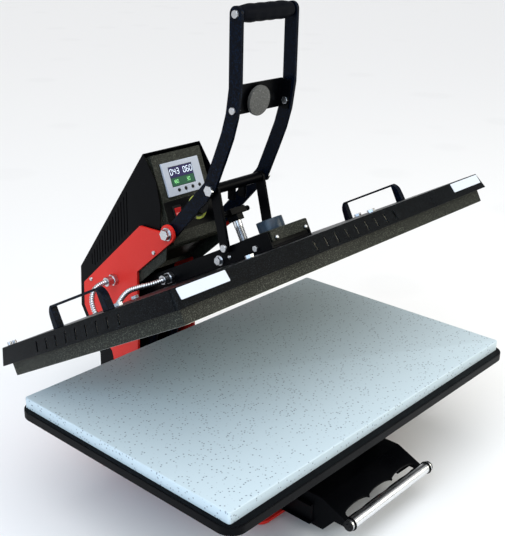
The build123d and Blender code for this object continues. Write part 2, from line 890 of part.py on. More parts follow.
# Bolts on the channel walls
with BuildPart() as channel_bolts:
    for s in (-1, 1):
        with BuildSketch(platen_side(s * arm_out)):
            with Locations(big_bolt):
                Circle(10)
        extrude(amount=s * 1.5)
        with BuildSketch(platen_side(s * (arm_out + 1.5))):
            with Locations(big_bolt):
                RegularPolygon(8, 6)
        extrude(amount=s * 6)
    with BuildSketch(platen_side(-arm_out)):
        with Locations((189, 42)):
            RegularPolygon(6, 6)
    extrude(amount=-5)
channel_bolts.part.label = "channel_bolts"
export_step(channel_bolts.part, "parts/channel_bolts.step")

# Magnet box: a bent sheet between the channel walls, and the round holding magnet on it
box_half = 50.5
box_t = 2.5
box_front = 148
box_back = 222
box_top = 64
magnet_r = 25
magnet_top = 84
magnet_d = 189
latch_gap = 0.6

with BuildPart() as magnet_box:
    with BuildSketch(platen_side(-box_half)):
        with BuildLine():
            FilletPolyline(
                (box_front + box_t / 2, 43),
                (box_front + box_t / 2, box_top - box_t / 2),
                (box_back - box_t / 2, box_top - box_t / 2),
                (box_back - box_t / 2, cover_h + web_t),
                radius=3,
            )
        trace(line_width=box_t)
    extrude(amount=2 * box_half)
    with BuildSketch(platen_face.offset(-box_front)):
        with Locations((-40, 48), (40, 48)):
            Circle(4)
    extrude(amount=2.5, taper=15)
magnet_box.part.label = "magnet_box"
export_step(magnet_box.part, "parts/magnet_box.step")

with BuildPart() as electromagnet:
    with BuildSketch(platen.offset(box_top)):
        with Locations((0, magnet_d)):
            Circle(magnet_r)
    extrude(amount=magnet_top - box_top)
    fillet(outer_circle(electromagnet, platen), 1.5)
electromagnet.part.label = "electromagnet"
export_step(electromagnet.part, "parts/electromagnet.step")

# Pressure screw on the web, and the head block on top of it with its cross pin
screw_d = 268
pressure_r = 8.7
head_low = 103
head_top = 127

with BuildPart() as pressure_screw:
    with BuildSketch(platen.offset(cover_h + web_t)):
        with Locations((0, screw_d)):
            Circle(pressure_r)
    extrude(amount=head_low - cover_h - web_t)
    with BuildSketch(platen.offset(cover_h + web_t)):
        with Locations((0, screw_d)):
            RegularPolygon(15, 6)
    extrude(amount=9)
pressure_screw.part.label = "pressure_screw"
export_step(pressure_screw.part, "parts/pressure_screw.step")

with BuildPart() as cross_head:
    with BuildSketch(platen.offset(head_low)):
        with Locations((0, screw_d)):
            RegularPolygon(16, 6)
    extrude(amount=12)
    with BuildSketch(platen_side(-20)):
        with Locations((266, (head_low + 12 + head_top) / 2)):
            Rectangle(24, head_top - head_low - 12)
    extrude(amount=40)
    with BuildSketch(platen_side(-38)):
        with Locations((266, 120)):
            Circle(5)
    extrude(amount=76)
cross_head.part.label = "cross_head"
export_step(cross_head.part, "parts/cross_head.step")

# Carry handles near the cover's left and right edges: a thin bar on two legs that swell towards the cover
handle_x = 398
handle_w = 13
bar_low, bar_top = 66, 70
leg_bend = 50
leg_in = (196, 330)
foot_out = (180, 345)
bend_out = (182, 343)
arch_mid = ((185.5, 62), (339.5, 62))
arch_top = (194, 332)

with BuildPart() as carry_handles:
    for middle in (-handle_x, handle_x):
        with BuildSketch(platen_side(middle - handle_w / 2)):
            with BuildLine():
                Polyline((leg_in[0], cover_h), (foot_out[0], cover_h), (bend_out[0], leg_bend))
                ThreePointArc((bend_out[0], leg_bend), arch_mid[0], (arch_top[0], bar_top))
                Line((arch_top[0], bar_top), (arch_top[1], bar_top))
                ThreePointArc((arch_top[1], bar_top), arch_mid[1], (bend_out[1], leg_bend))
                Polyline(
                    (bend_out[1], leg_bend),
                    (foot_out[1], cover_h),
                    (leg_in[1], cover_h),
                    (leg_in[1], bar_low),
                    (leg_in[0], bar_low),
                    (leg_in[0], cover_h),
                )
            make_face()
        extrude(amount=handle_w)
carry_handles.part.label = "carry_handles"
export_step(carry_handles.part, "parts/carry_handles.step")

# Blank label plates on the drawn-in front wall of the cover
wall_n = Plane(origin=platen_origin, x_dir=(1, 0, 0), z_dir=platen.z_dir * cover_draw + platen_face.z_dir * cover_h)

with BuildPart() as label_plates:
    with BuildSketch(wall_n):
        with Locations((-362, 21), (362, 21)):
            RectangleRounded(98, 18, 1.5)
    extrude(amount=0.8)
label_plates.part.label = "label_plates"
export_step(label_plates.part, "parts/label_plates.step")

# Press handle: two bent lever bars, a cross plate, the latch disc and the grip
bar_w = 27
bar_line = [(lever_y, lever_z), (360, 347), (334, 408), (318, 447), (307, 484), (300, 530), (299, 654)]
knee_pin_r = 8
grip_y, grip_z = 299, 654
grip_rod_r = 6
cross_bolt = (304, 494)
cross_bolt_r = 4

with BuildPart() as lever_bars:
    for x in (-bar_out, bar_in):
        with BuildSketch(side(x)):
            with BuildLine():
                FilletPolyline(*bar_line, radius=40)
            trace(line_width=bar_w)
            with Locations((lever_y, lever_z), (grip_y, grip_z)):
                Circle(bar_w / 2)
            with Locations((lever_y, lever_z)):
                Circle(lever_pin_r + running_gap, mode=Mode.SUBTRACT)
            with Locations((knee_y, knee_z)):
                Circle(knee_pin_r, mode=Mode.SUBTRACT)
            with Locations((grip_y, grip_z)):
                Circle(grip_rod_r, mode=Mode.SUBTRACT)
            with Locations(cross_bolt):
                Circle(cross_bolt_r, mode=Mode.SUBTRACT)
        extrude(amount=bar_t)
lever_bars.part.label = "lever_bars"
export_step(lever_bars.part, "parts/lever_bars.step")

# The disc's open place is worked out back from where it meets the magnet
face_closed_y = platen_front_closed + magnet_d
face_closed_z = platen_low_closed + magnet_top + latch_gap
disc_y, disc_z = turned(face_closed_y, face_closed_z, lever_y, lever_z, -lever_turn)
turn_c = cos(radians(lever_turn))
turn_s = sin(radians(lever_turn))
disc_plane = Plane(
    origin=(0, pad_front + disc_y, pad_top + disc_z),
    x_dir=(1, 0, 0),
    z_dir=(0, -turn_s, -turn_c),
)
disc_r = 27
disc_t = 6
neck_r = 9
neck_l = 4
cross_t = 3

with BuildPart() as latch_disc:
    with BuildSketch(disc_plane):
        Circle(disc_r)
    extrude(amount=-disc_t)
    with BuildSketch(disc_plane.offset(-disc_t)):
        Circle(neck_r)
    extrude(amount=-neck_l)
    fillet(outer_circle(latch_disc, disc_plane), 1)
latch_disc.part.label = "latch_disc"
export_step(latch_disc.part, "parts/latch_disc.step")

cross_top = 31
cross_low = -22
cross_mid = (cross_top + cross_low) / 2
cross_plane = disc_plane.offset(-disc_t - neck_l)

with BuildPart() as cross_plate:
    with BuildSketch(cross_plane):
        with Locations((0, cross_mid)):
            Rectangle(2 * bar_in, cross_top - cross_low)
    extrude(amount=-cross_t)
    for s in (-1, 1):
        with BuildSketch(cross_plane.offset(-cross_t)):
            with Locations((s * (bar_in - cross_t / 2), cross_mid)):
                Rectangle(cross_t, cross_top - cross_low)
        extrude(amount=24)
    with BuildSketch(side(-bar_in)):
        with Locations(cross_bolt):
            Circle(cross_bolt_r)
    extrude(amount=2 * bar_in, mode=Mode.SUBTRACT)
cross_plate.part.label = "cross_plate"
export_step(cross_plate.part, "parts/cross_plate.step")

# Bolts of the press handle: at the grip, the cross plate and the ends of the knee shaft
with BuildPart() as lever_bolts:
    for s in (-1, 1):
        with BuildSketch(side(s * (bar_in - cross_t))):
            with Locations(cross_bolt):
                Circle(cross_bolt_r)
        extrude(amount=s * (bar_t + cross_t))
        with BuildSketch(side(s * bar_out)):
            with Locations(cross_bolt):
                Circle(7)
        extrude(amount=s * 3, taper=15)
        with BuildSketch(side(s * (bar_in - cross_t))):
            with Locations(cross_bolt):
                RegularPolygon(7, 6)
        extrude(amount=-s * 4)
        with BuildSketch(side(s * bar_out)):
            with Locations((grip_y, grip_z)):
                Circle(7.5)
        extrude(amount=s * 3.5, taper=15)
        with BuildSketch(side(s * bar_out)):
            with Locations((knee_y, knee_z)):
                RegularPolygon(10.5, 6)
        extrude(amount=s * 6)
lever_bolts.part.label = "lever_bolts"
export_step(lever_bolts.part, "parts/lever_bolts.step")

# Knee shaft between the bars, with a sleeve and the lug that leans on the cross head
link_in = 58
link_t = 6
link_out = link_in + link_t
sleeve_r = 9.5
sleeve_half = 57.5
lug_l = 30

with BuildPart() as knee_shaft:
    with BuildSketch(side(-bar_out)):
        with Locations((knee_y, knee_z)):
            Circle(knee_pin_r)
    extrude(amount=2 * bar_out)
    with BuildSketch(side(-sleeve_half)):
        with Locations((knee_y, knee_z)):
            Circle(sleeve_r)
    extrude(amount=2 * sleeve_half)
    for x in (-17, 11):
        with BuildSketch(side(x)):
            with Locations((knee_y + 2, knee_z - lug_l / 2)):
                Rectangle(16, lug_l)
        extrude(amount=6)
knee_shaft.part.label = "knee_shaft"
export_step(knee_shaft.part, "parts/knee_shaft.step")

# Grip: a steel rod through a foam sleeve with a wavy outline
foam_half = 66
foam_waves = [13, 14.5, 16.5, 14.3, 16.3, 14.3, 16.3, 14.3, 16.5, 14.5, 13]

with BuildPart() as grip_core:
    with BuildSketch(side(-bar_out)):
        with Locations((grip_y, grip_z)):
            Circle(grip_rod_r)
    extrude(amount=2 * bar_out)
grip_core.part.label = "grip_core"
export_step(grip_core.part, "parts/grip_core.step")

grip_frame = Plane(origin=(0, pad_front + grip_y, pad_top + grip_z), x_dir=(1, 0, 0), z_dir=(0, -1, 0))
wave_step = 2 * foam_half / (len(foam_waves) - 1)
wave_points = [(-foam_half + index * wave_step, r) for index, r in enumerate(foam_waves)]

with BuildPart() as foam_grip:
    with BuildSketch(grip_frame):
        with BuildLine():
            wave = Spline(*wave_points)
            Polyline(wave @ 0, (-foam_half, grip_rod_r), (foam_half, grip_rod_r), wave @ 1)
        make_face()
    revolve(axis=Axis(grip_frame.origin, (1, 0, 0)))
foam_grip.part.label = "foam_grip"
export_step(foam_grip.part, "parts/foam_grip.step")

# Links from the knee shaft down to the channel, outside its walls
link_w = 22
link_pin_r = 5
link_low_y, link_low_z = from_platen(258.8, 62)
link_mid = ((knee_y + link_low_y) / 2, (knee_z + link_low_z) / 2)
link_len = hypot(knee_y - link_low_y, knee_z - link_low_z)

with BuildPart() as links:
    for x in (-link_out, link_in):
        with BuildSketch(side(x)):
            with BuildLine():
                Line((knee_y, knee_z), (link_low_y, link_low_z))
            trace(line_width=link_w)
            with Locations((knee_y, knee_z), (link_low_y, link_low_z)):
                Circle(link_w / 2)
            with Locations((knee_y, knee_z)):
                Circle(knee_pin_r + running_gap, mode=Mode.SUBTRACT)
            with Locations((link_low_y, link_low_z)):
                Circle(link_pin_r, mode=Mode.SUBTRACT)
        extrude(amount=link_t)
links.part.label = "links"
export_step(links.part, "parts/links.step")

with BuildPart() as link_bolts:
    for s in (-1, 1):
        with BuildSketch(side(s * (arm_out + 0.5))):
            with Locations((link_low_y, link_low_z)):
                Circle(link_pin_r)
        extrude(amount=s * (link_out - arm_out - 0.5))
        with BuildSketch(side(s * link_out)):
            with Locations((link_low_y, link_low_z)):
                Circle(8)
        extrude(amount=s * 3.4, taper=15)
link_bolts.part.label = "link_bolts"
export_step(link_bolts.part, "parts/link_bolts.step")

# Gas springs inside the tower, between the base pin and the arm pin
gas_arm_y, gas_arm_z = from_platen(gas_arm_d, gas_arm_h)
gas_len = hypot(gas_arm_y - gas_base_y, gas_arm_z - gas_base_z)
gas_dir = (0, (gas_arm_y - gas_base_y) / gas_len, (gas_arm_z - gas_base_z) / gas_len)
gas_x = 30
gas_r = 11
gas_rod_r = 4.5
gas_eye_r = 11
gas_tube_start = 9
gas_tube_end = 160
gas_rod_tip = 126


def along_gas(x, distance):
    """Plane square to the spring at a distance from its base pin."""
    origin = (x, pad_front + gas_base_y + gas_dir[1] * distance, pad_top + gas_base_z + gas_dir[2] * distance)
    return Plane(origin=origin, x_dir=(1, 0, 0), z_dir=gas_dir)


with BuildPart() as gas_cylinders:
    for x in (-gas_x, gas_x):
        with BuildSketch(along_gas(x, gas_tube_start)):
            Circle(gas_r)
        extrude(amount=gas_tube_end - gas_tube_start)
        with BuildSketch(side(x - 6)):
            with Locations((gas_base_y, gas_base_z)):
                Circle(gas_eye_r)
        extrude(amount=12)
        with BuildSketch(side(x - 12)):
            with Locations((gas_base_y, gas_base_z)):
                Circle(gas_pin_r + running_gap)
        extrude(amount=24, mode=Mode.SUBTRACT)
        with BuildSketch(along_gas(x, 100)):
            Circle(gas_rod_r + running_gap)
        extrude(amount=gas_tube_end - 100, mode=Mode.SUBTRACT)
gas_cylinders.part.label = "gas_cylinders"
export_step(gas_cylinders.part, "parts/gas_cylinders.step")

gas_top_bore = gas_arm_pin_r + 2.6

with BuildPart() as gas_rods:
    for x in (-gas_x, gas_x):
        with BuildSketch(along_gas(x, gas_rod_tip)):
            Circle(gas_rod_r)
        extrude(amount=gas_len - gas_rod_tip - gas_top_bore - 1)
        with BuildSketch(side(x - 5)):
            with Locations((gas_arm_y, gas_arm_z)):
                Circle(gas_top_bore + 4)
                Circle(gas_top_bore, mode=Mode.SUBTRACT)
        extrude(amount=10)
gas_rods.part.label = "gas_rods"
export_step(gas_rods.part, "parts/gas_rods.step")

# Conduit glands: a hex body with a lock collar, bored for the hose
gland_hex_r = 12.5
gland_hex_l = 9
gland_nose_r = 9.5
gland_l = 24
hose_r = 5.5

with BuildPart() as conduit_gland_base:
    with BuildSketch(side(-plate_out)):
        with Locations((gland_y, gland_z)):
            RegularPolygon(gland_hex_r, 6)
    extrude(amount=-gland_hex_l)
    with BuildSketch(side(-plate_out - gland_hex_l)):
        with Locations((gland_y, gland_z)):
            Circle(gland_nose_r)
    extrude(amount=-(gland_l - gland_hex_l))
    with BuildSketch(side(-plate_out)):
        with Locations((gland_y, gland_z)):
            Circle(gland_thread_r)
    extrude(amount=plate_t)
    with BuildSketch(side(-plate_out - gland_l)):
        with Locations((gland_y, gland_z)):
            Circle(hose_r - 1.5)
    extrude(amount=gland_l + plate_t, mode=Mode.SUBTRACT)
conduit_gland_base.part.label = "conduit_gland_base"
export_step(conduit_gland_base.part, "parts/conduit_gland_base.step")

with BuildPart() as conduit_gland_platen:
    with BuildSketch(platen_side(-arm_out)):
        with Locations((gland_platen_d, gland_platen_h)):
            RegularPolygon(gland_hex_r, 6)
    extrude(amount=-gland_hex_l)
    with BuildSketch(platen_side(-arm_out - gland_hex_l)):
        with Locations((gland_platen_d, gland_platen_h)):
            Circle(gland_nose_r)
    extrude(amount=-(gland_l - gland_hex_l))
    with BuildSketch(platen_side(-arm_out)):
        with Locations((gland_platen_d, gland_platen_h)):
            Circle(gland_platen_r)
    extrude(amount=arm_t)
    with BuildSketch(platen_side(-arm_out - gland_l)):
        with Locations((gland_platen_d, gland_platen_h)):
            Circle(hose_r - 1.5)
    extrude(amount=gland_l + arm_t, mode=Mode.SUBTRACT)
conduit_gland_platen.part.label = "conduit_gland_platen"
export_step(conduit_gland_platen.part, "parts/conduit_gland_platen.step")

# Flexible metal conduit between the glands: a loop that gives as the platen swings
gland_platen_y, gland_platen_z = from_platen(gland_platen_d, gland_platen_h)
hose_route = [
    (-plate_out - gland_l, gland_y, gland_z),
    (-133, gland_y, gland_z),
    (-150, 617, 80),
    (-154, 605, 55),
    (-150, 587, 40),
    (-145, 568, 48),
    (-138, 556, 73),
    (-130, 533, 112),
    (-120, 508, 125),
    (-105, gland_platen_y, gland_platen_z),
    (-arm_out - gland_l, gland_platen_y, gland_platen_z),
]
hose_points = [Vector(x, pad_front + y, pad_top + z) for x, y, z in hose_route]
hose_radii = []
for before, corner, after in zip(hose_points, hose_points[1:], hose_points[2:]):
    turn = (corner - before).get_angle(after - corner)
    shorter_run = min((corner - before).length, (after - corner).length)
    hose_radii.append(0.45 * shorter_run / tan(radians(turn / 2)))
print("conduit radii", [round(radius, 1) for radius in hose_radii])

bore_r = 3.6

with BuildPart() as conduit:
    with BuildLine() as hose_line:
        FilletPolyline(*hose_points, radius=hose_radii)
    hose_path = hose_line.wire()
    with BuildSketch(Plane(origin=hose_path @ 0, z_dir=hose_path % 0)):
        Circle(hose_r)
        Circle(bore_r, mode=Mode.SUBTRACT)
    sweep(path=hose_path)
conduit.part.label = "conduit"
export_step(conduit.part, "parts/conduit.step")
hose_section = pi * (hose_r**2 - bore_r**2)
print("conduit length", round(hose_path.length, 1))
print("conduit volume", round(conduit.part.volume), "section times length", round(hose_section * hose_path.length))
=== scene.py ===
# %% [markdown]
# A large format heat press. The solids come from the imported model, and this script gives
# them their looks: rolled sheet edges, hammered coats, the ribbed hose, the pad, the foam grip,
# the screw thread and the display. First the frame is loaded.

import json
from math import ceil, cos, pi, radians, sin

import bmesh
import bpy
from mathutils import Matrix, Vector

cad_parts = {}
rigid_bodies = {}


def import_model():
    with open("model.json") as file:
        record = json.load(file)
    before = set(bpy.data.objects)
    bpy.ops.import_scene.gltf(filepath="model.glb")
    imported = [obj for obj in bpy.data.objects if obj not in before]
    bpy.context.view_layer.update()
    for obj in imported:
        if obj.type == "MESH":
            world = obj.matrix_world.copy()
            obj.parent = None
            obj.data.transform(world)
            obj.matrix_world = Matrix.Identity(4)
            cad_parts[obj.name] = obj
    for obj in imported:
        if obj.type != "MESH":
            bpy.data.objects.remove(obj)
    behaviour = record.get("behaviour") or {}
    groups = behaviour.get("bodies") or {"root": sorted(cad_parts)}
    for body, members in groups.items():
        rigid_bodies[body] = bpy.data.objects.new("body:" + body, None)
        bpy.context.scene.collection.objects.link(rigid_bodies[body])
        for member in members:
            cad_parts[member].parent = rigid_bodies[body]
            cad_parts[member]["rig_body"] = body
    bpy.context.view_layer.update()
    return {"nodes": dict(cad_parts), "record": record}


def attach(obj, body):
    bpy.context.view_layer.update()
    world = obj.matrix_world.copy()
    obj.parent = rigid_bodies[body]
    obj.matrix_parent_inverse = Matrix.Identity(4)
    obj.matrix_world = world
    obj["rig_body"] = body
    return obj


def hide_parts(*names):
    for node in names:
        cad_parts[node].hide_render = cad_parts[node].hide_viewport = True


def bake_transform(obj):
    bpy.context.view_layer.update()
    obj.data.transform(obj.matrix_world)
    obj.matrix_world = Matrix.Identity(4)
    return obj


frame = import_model()
nodes = frame["nodes"]
slot_of = {part["node"]: part["material_slot"] for part in frame["record"]["subparts"]}

# %% [markdown]
# Everything on the press is measured from the front edge of the pad's top face, in millimetres:
# x to the right, behind, and above. The tilted platen and the leaning panel have frames of their
# own. One matrix for each turns such sizes into the metres of the model, which is easier to
# read than adding offsets to every number.

# %% Frames of the pad, the platen and the panel
PAD_FRONT, PAD_TOP = -357.25, 222.0
PAD_WIDTH, PAD_DEPTH, PAD_THICK = 800, 500, 20
MM = 0.001
TO_METRES = Matrix.Scale(MM, 4)
PRESS = TO_METRES @ Matrix.Translation((0, PAD_FRONT, PAD_TOP))

OPEN_TILT = radians(28.66)
HINGE = Vector((0, 586, 6))
CLOSED_CORNER = Vector((0, -6, 24))
PLATEN = PRESS @ Matrix.Translation(HINGE) @ Matrix.Rotation(-OPEN_TILT, 4, "X")
PLATEN = PLATEN @ Matrix.Translation(CLOSED_CORNER - HINGE)

PANEL_LEAN = radians(21.5)
PANEL = PRESS @ Matrix.Translation((0, 506, 324.5)) @ Matrix.Rotation(pi / 2 - PANEL_LEAN, 4, "X")


def place(x, behind, above):
    """A point of the press in the metres of the model."""
    return PRESS @ Vector((x, behind, above))


print("platen corner at", [round(c, 4) for c in PLATEN.translation])

# %% [markdown]
# The camera stands where the photographer stood: left of the press and a little above it. Its
# angles, distance and focal length were found by fitting the corners of the pad and of the cover.
# Its place is worked out from those angles and not typed as a matrix, so each value keeps a
# meaning.

# %% Camera
VIEW_ANGLE, VIEW_HEIGHT, VIEW_ROLL = radians(-48.44), radians(21.21), radians(0.96)
VIEW_DISTANCE, AIM_RIGHT, AIM_UP = 1785.76, -48.01, 188.38
FOCAL_PIXELS, PHOTO_HEIGHT, SENSOR = 935.41, 536, 36

back = Vector(
    (sin(VIEW_ANGLE) * cos(VIEW_HEIGHT), -cos(VIEW_ANGLE) * cos(VIEW_HEIGHT), sin(VIEW_HEIGHT))
)
level_right = Vector((cos(VIEW_ANGLE), sin(VIEW_ANGLE), 0))
level_up = back.cross(level_right)
right = level_right * cos(VIEW_ROLL) + level_up * sin(VIEW_ROLL)
up = level_up * cos(VIEW_ROLL) - level_right * sin(VIEW_ROLL)
eye = Vector((0, PAD_DEPTH / 2, 0)) + right * AIM_RIGHT + up * AIM_UP + back * VIEW_DISTANCE

lens = bpy.data.cameras.new("press_camera")
lens.sensor_width = SENSOR
lens.lens = FOCAL_PIXELS / PHOTO_HEIGHT * SENSOR
camera = bpy.data.objects.new("press_camera", lens)
bpy.context.scene.collection.objects.link(camera)
turn = Matrix((right, up, back)).transposed().to_4x4()
camera.matrix_world = Matrix.Translation(PRESS @ eye) @ turn
bpy.context.scene.camera = camera
print("camera lens", round(lens.lens, 2), "mm")

# %% [markdown]
# A finish needs many small nodes. Four helpers keep that short: they add a node with its values,
# turn one span of values into another, start a node group with named sockets, and mix the two
# colours of a group by a mask. A group puts out only colours, masks and heights, and the shader
# itself stays in each material, where the export can read it.


# %% Helpers for nodes
MIX_BY, MIX_FIRST, MIX_SECOND, MIX_OUT = 0, 6, 7, 2  # the colour sockets of a Mix node


def add_node(tree, kind, values=None, **settings):
    node = tree.nodes.new(kind)
    for name, value in settings.items():
        setattr(node, name, value)
    for name, value in (values or {}).items():
        node.inputs[name].default_value = value
    return node


def add_range(tree, low, high, to_low=0.0, to_high=1.0):
    """A node that turns values from low to high into values from to_low to to_high."""
    ends = {"From Min": low, "From Max": high, "To Min": to_low, "To Max": to_high}
    return add_node(tree, "ShaderNodeMapRange", ends)


def start_group(name, sockets_in, sockets_out):
    tree = bpy.data.node_groups.new(name, "ShaderNodeTree")
    for label, kind in sockets_in:
        tree.interface.new_socket(label, in_out="INPUT", socket_type="NodeSocket" + kind)
    for label, kind in sockets_out:
        tree.interface.new_socket(label, in_out="OUTPUT", socket_type="NodeSocket" + kind)
    return tree, tree.nodes.new("NodeGroupInput"), tree.nodes.new("NodeGroupOutput")


def blend_colours(tree, mask, group_in):
    """Mixes the base colour of a surface with its fleck colour by a mask."""
    mix = add_node(tree, "ShaderNodeMix", data_type="RGBA")
    tree.links.new(mask, mix.inputs[MIX_BY])
    tree.links.new(group_in.outputs["Base"], mix.inputs[MIX_FIRST])
    tree.links.new(group_in.outputs["Fleck"], mix.inputs[MIX_SECOND])
    return mix.outputs[MIX_OUT]


SURFACE_OUT = [("Color", "Color"), ("Roughness", "Float"), ("Height", "Float")]
SURFACE_IN = [("Vector", "Vector"), ("Base", "Color"), ("Fleck", "Color"), ("Scale", "Float")]
print("surface groups put out", [label for label, kind in SURFACE_OUT])

# %% [markdown]
# Hammered powder coat is a dark paint that dries in small rounded dimples with lighter flecks
# between them. Rounded cells give the dimples, and a fine noise cut at a threshold gives the
# flecks. A broad, faint noise changes the gloss from place to place, as handling does.

# %% Hammered coat
coat, coat_in, coat_out = start_group("hammered_coat", SURFACE_IN, SURFACE_OUT)
fleck_noise = add_node(coat, "ShaderNodeTexNoise", {"Detail": 2.0, "Roughness": 0.6})
fleck_mask = add_range(coat, 0.54, 0.68)
dimples = add_node(coat, "ShaderNodeTexVoronoi", {"Smoothness": 0.7}, feature="SMOOTH_F1")
handled = add_node(coat, "ShaderNodeTexNoise", {"Scale": 14.0, "Detail": 3.0})
gloss = add_range(coat, 0.3, 0.7, 0.26, 0.44)
for texture in (fleck_noise, dimples, handled):
    coat.links.new(coat_in.outputs["Vector"], texture.inputs["Vector"])
for texture in (fleck_noise, dimples):
    coat.links.new(coat_in.outputs["Scale"], texture.inputs["Scale"])
coat.links.new(fleck_noise.outputs["Fac"], fleck_mask.inputs["Value"])
coat.links.new(handled.outputs["Fac"], gloss.inputs["Value"])
flecked = blend_colours(coat, fleck_mask.outputs["Result"], coat_in)
coat.links.new(flecked, coat_out.inputs["Color"])
coat.links.new(gloss.outputs["Result"], coat_out.inputs["Roughness"])
coat.links.new(dimples.outputs["Distance"], coat_out.inputs["Height"])
print("hammered coat has", len(coat.nodes), "nodes")

# %% [markdown]
# Bare metal shows fine lines from rolling, turning or brushing. A noise squeezed along one
# axis gives those lines, and the same lines vary the roughness so that highlights break up.

# %% Drawn metal
metal, metal_in, metal_out = start_group("drawn_metal", SURFACE_IN, SURFACE_OUT)
squeeze = add_node(metal, "ShaderNodeMapping", {"Scale": (0.05, 1.0, 1.0)})
lines = add_node(metal, "ShaderNodeTexNoise", {"Detail": 4.0, "Roughness": 0.65})
line_gloss = add_range(metal, 0.3, 0.7, 0.2, 0.4)
metal.links.new(metal_in.outputs["Vector"], squeeze.inputs["Vector"])
metal.links.new(squeeze.outputs["Vector"], lines.inputs["Vector"])
metal.links.new(metal_in.outputs["Scale"], lines.inputs["Scale"])
metal.links.new(lines.outputs["Fac"], line_gloss.inputs["Value"])
lined = blend_colours(metal, lines.outputs["Fac"], metal_in)
metal.links.new(lined, metal_out.inputs["Color"])
metal.links.new(line_gloss.outputs["Result"], metal_out.inputs["Roughness"])
metal.links.new(lines.outputs["Fac"], metal_out.inputs["Height"])
print("drawn metal has", len(metal.nodes), "nodes")

# %% [markdown]
# Rubber, plastic, silicone, foam, print and board are matte with sparse specks. Cells whose
# centre is close give round specks of about equal size, and a random value for each cell keeps
# only some.

# %% Specked matte surface
matte, matte_in, matte_out = start_group("specked_matte", SURFACE_IN, SURFACE_OUT)
cells = add_node(matte, "ShaderNodeTexVoronoi", {"Randomness": 1.0})
near = add_range(matte, 0.34, 0.2)
chosen = add_range(matte, 0.60, 0.66)
both = add_node(matte, "ShaderNodeMath", operation="MULTIPLY")
cell_parts = add_node(matte, "ShaderNodeSeparateColor")
pores = add_node(matte, "ShaderNodeTexNoise", {"Scale": 900.0, "Detail": 2.0})
pore_gloss = add_range(matte, 0.3, 0.7, 0.48, 0.66)
for texture in (cells, pores):
    matte.links.new(matte_in.outputs["Vector"], texture.inputs["Vector"])
matte.links.new(matte_in.outputs["Scale"], cells.inputs["Scale"])
matte.links.new(cells.outputs["Distance"], near.inputs["Value"])
matte.links.new(cells.outputs["Color"], cell_parts.inputs["Color"])
matte.links.new(cell_parts.outputs["Red"], chosen.inputs["Value"])
matte.links.new(near.outputs["Result"], both.inputs[0])
matte.links.new(chosen.outputs["Result"], both.inputs[1])
matte.links.new(pores.outputs["Fac"], pore_gloss.inputs["Value"])
specked = blend_colours(matte, both.outputs["Value"], matte_in)
matte.links.new(specked, matte_out.inputs["Color"])
matte.links.new(pore_gloss.outputs["Result"], matte_out.inputs["Roughness"])
matte.links.new(pores.outputs["Fac"], matte_out.inputs["Height"])
print("specked matte has", len(matte.nodes), "nodes")

# %% [markdown]
# Each real finish is one material: a surface group with its own colours and grain, a bump from
# its height, and a shader with the metal, clear coat and shine it needs. Values that are the same
# all over are set on the shader itself. One function makes them all, so a finish is one call.


# %% Helper for finishes
FINE = 0.0001


def finish(
    name, surface, base, fleck, scale, bump=0.2, depth=0.0003, metallic=0.0, clear=0.0, shine=0.5
):
    """A material of one surface group; depth is the height of its bumps in metres."""
    material = bpy.data.materials.new(name)
    material.use_nodes = True
    tree = material.node_tree
    shader = tree.nodes["Principled BSDF"]
    spot = add_node(tree, "ShaderNodeTexCoord")
    look = add_node(tree, "ShaderNodeGroup", node_tree=surface)
    look.inputs["Base"].default_value = (*base, 1)
    look.inputs["Fleck"].default_value = (*fleck, 1)
    look.inputs["Scale"].default_value = scale
    relief = add_node(tree, "ShaderNodeBump", {"Strength": bump, "Distance": depth})
    tree.links.new(spot.outputs["Object"], look.inputs["Vector"])
    tree.links.new(look.outputs["Color"], shader.inputs["Base Color"])
    tree.links.new(look.outputs["Roughness"], shader.inputs["Roughness"])
    tree.links.new(look.outputs["Height"], relief.inputs["Height"])
    tree.links.new(relief.outputs["Normal"], shader.inputs["Normal"])
    shader.inputs["Metallic"].default_value = metallic
    shader.inputs["Coat Weight"].default_value = clear
    shader.inputs["Specular IOR Level"].default_value = shine
    return material


print("the finest bumps are", FINE, "m high")

# %% [markdown]
# The sheet parts wear dark powder coats that differ in tint and in how bright their flecks are,
# and the base is red. The blue tint of one and the olive tint of another are painted light: the cool
# glow from the left and the warm glow from the front right, put into the colour of the one black
# coat. One surface group with other colours gives them all, so that they share one kind of grain.
# The dark coats need a low shine, or the lamps would turn them grey.

# %% Painted coats
# Black coat whose blue tint is painted cool light from the left.
painted_cool_light_coat = finish(
    "black_coat_painted_cool_light", coat, (0.0008, 0.0014, 0.0034), (0.006, 0.017, 0.042), 560, 0.5, shine=0.06,
)
cover_coat = finish(
    "cover_black_coat", coat, (0.0012, 0.0015, 0.0020), (0.016, 0.020, 0.023), 680, 0.4, shine=0.05,
)
# Black coat whose olive tint is painted warm light from the front right.
painted_warm_light_coat = finish(
    "black_coat_painted_warm_light", coat, (0.014, 0.015, 0.012), (0.105, 0.11, 0.085), 640, 0.4, shine=0.08,
)
plain_coat = finish(
    "plain_black_coat", coat, (0.0008, 0.0009, 0.0014),
    (0.004, 0.005, 0.007), 800, 0.25, shine=0.05,
)
rail_coat = finish(
    "black_rail_coat", coat, (0.0015, 0.0015, 0.002), (0.005, 0.005, 0.007), 900, 0.15, shine=0.08,
)
red_coat = finish(
    "red_satin_coat", coat, (0.66, 0.022, 0.015), (0.72, 0.035, 0.025), 1100, 0.06, shine=0.2,
)
disc_coat = finish(
    "grey_disc_coat", coat, (0.085, 0.085, 0.08), (0.24, 0.24, 0.23), 700, 0.3, shine=0.2,
)
magnet_coat = finish(
    "magnet_coat", coat, (0.006, 0.018, 0.034), (0.02, 0.05, 0.08), 700, 0.2, shine=0.35,
)
print("dark coats:", painted_cool_light_coat.name, cover_coat.name, painted_warm_light_coat.name, plain_coat.name)

# %% [markdown]
# Bolts, tube and hose are bare steel, and there is some zinc, coated alloy and bronze. They share
# the group of fine lines, and the shader's metal value gives the reflections the metal's colour.
# Their bumps are a third as high as those of paint.

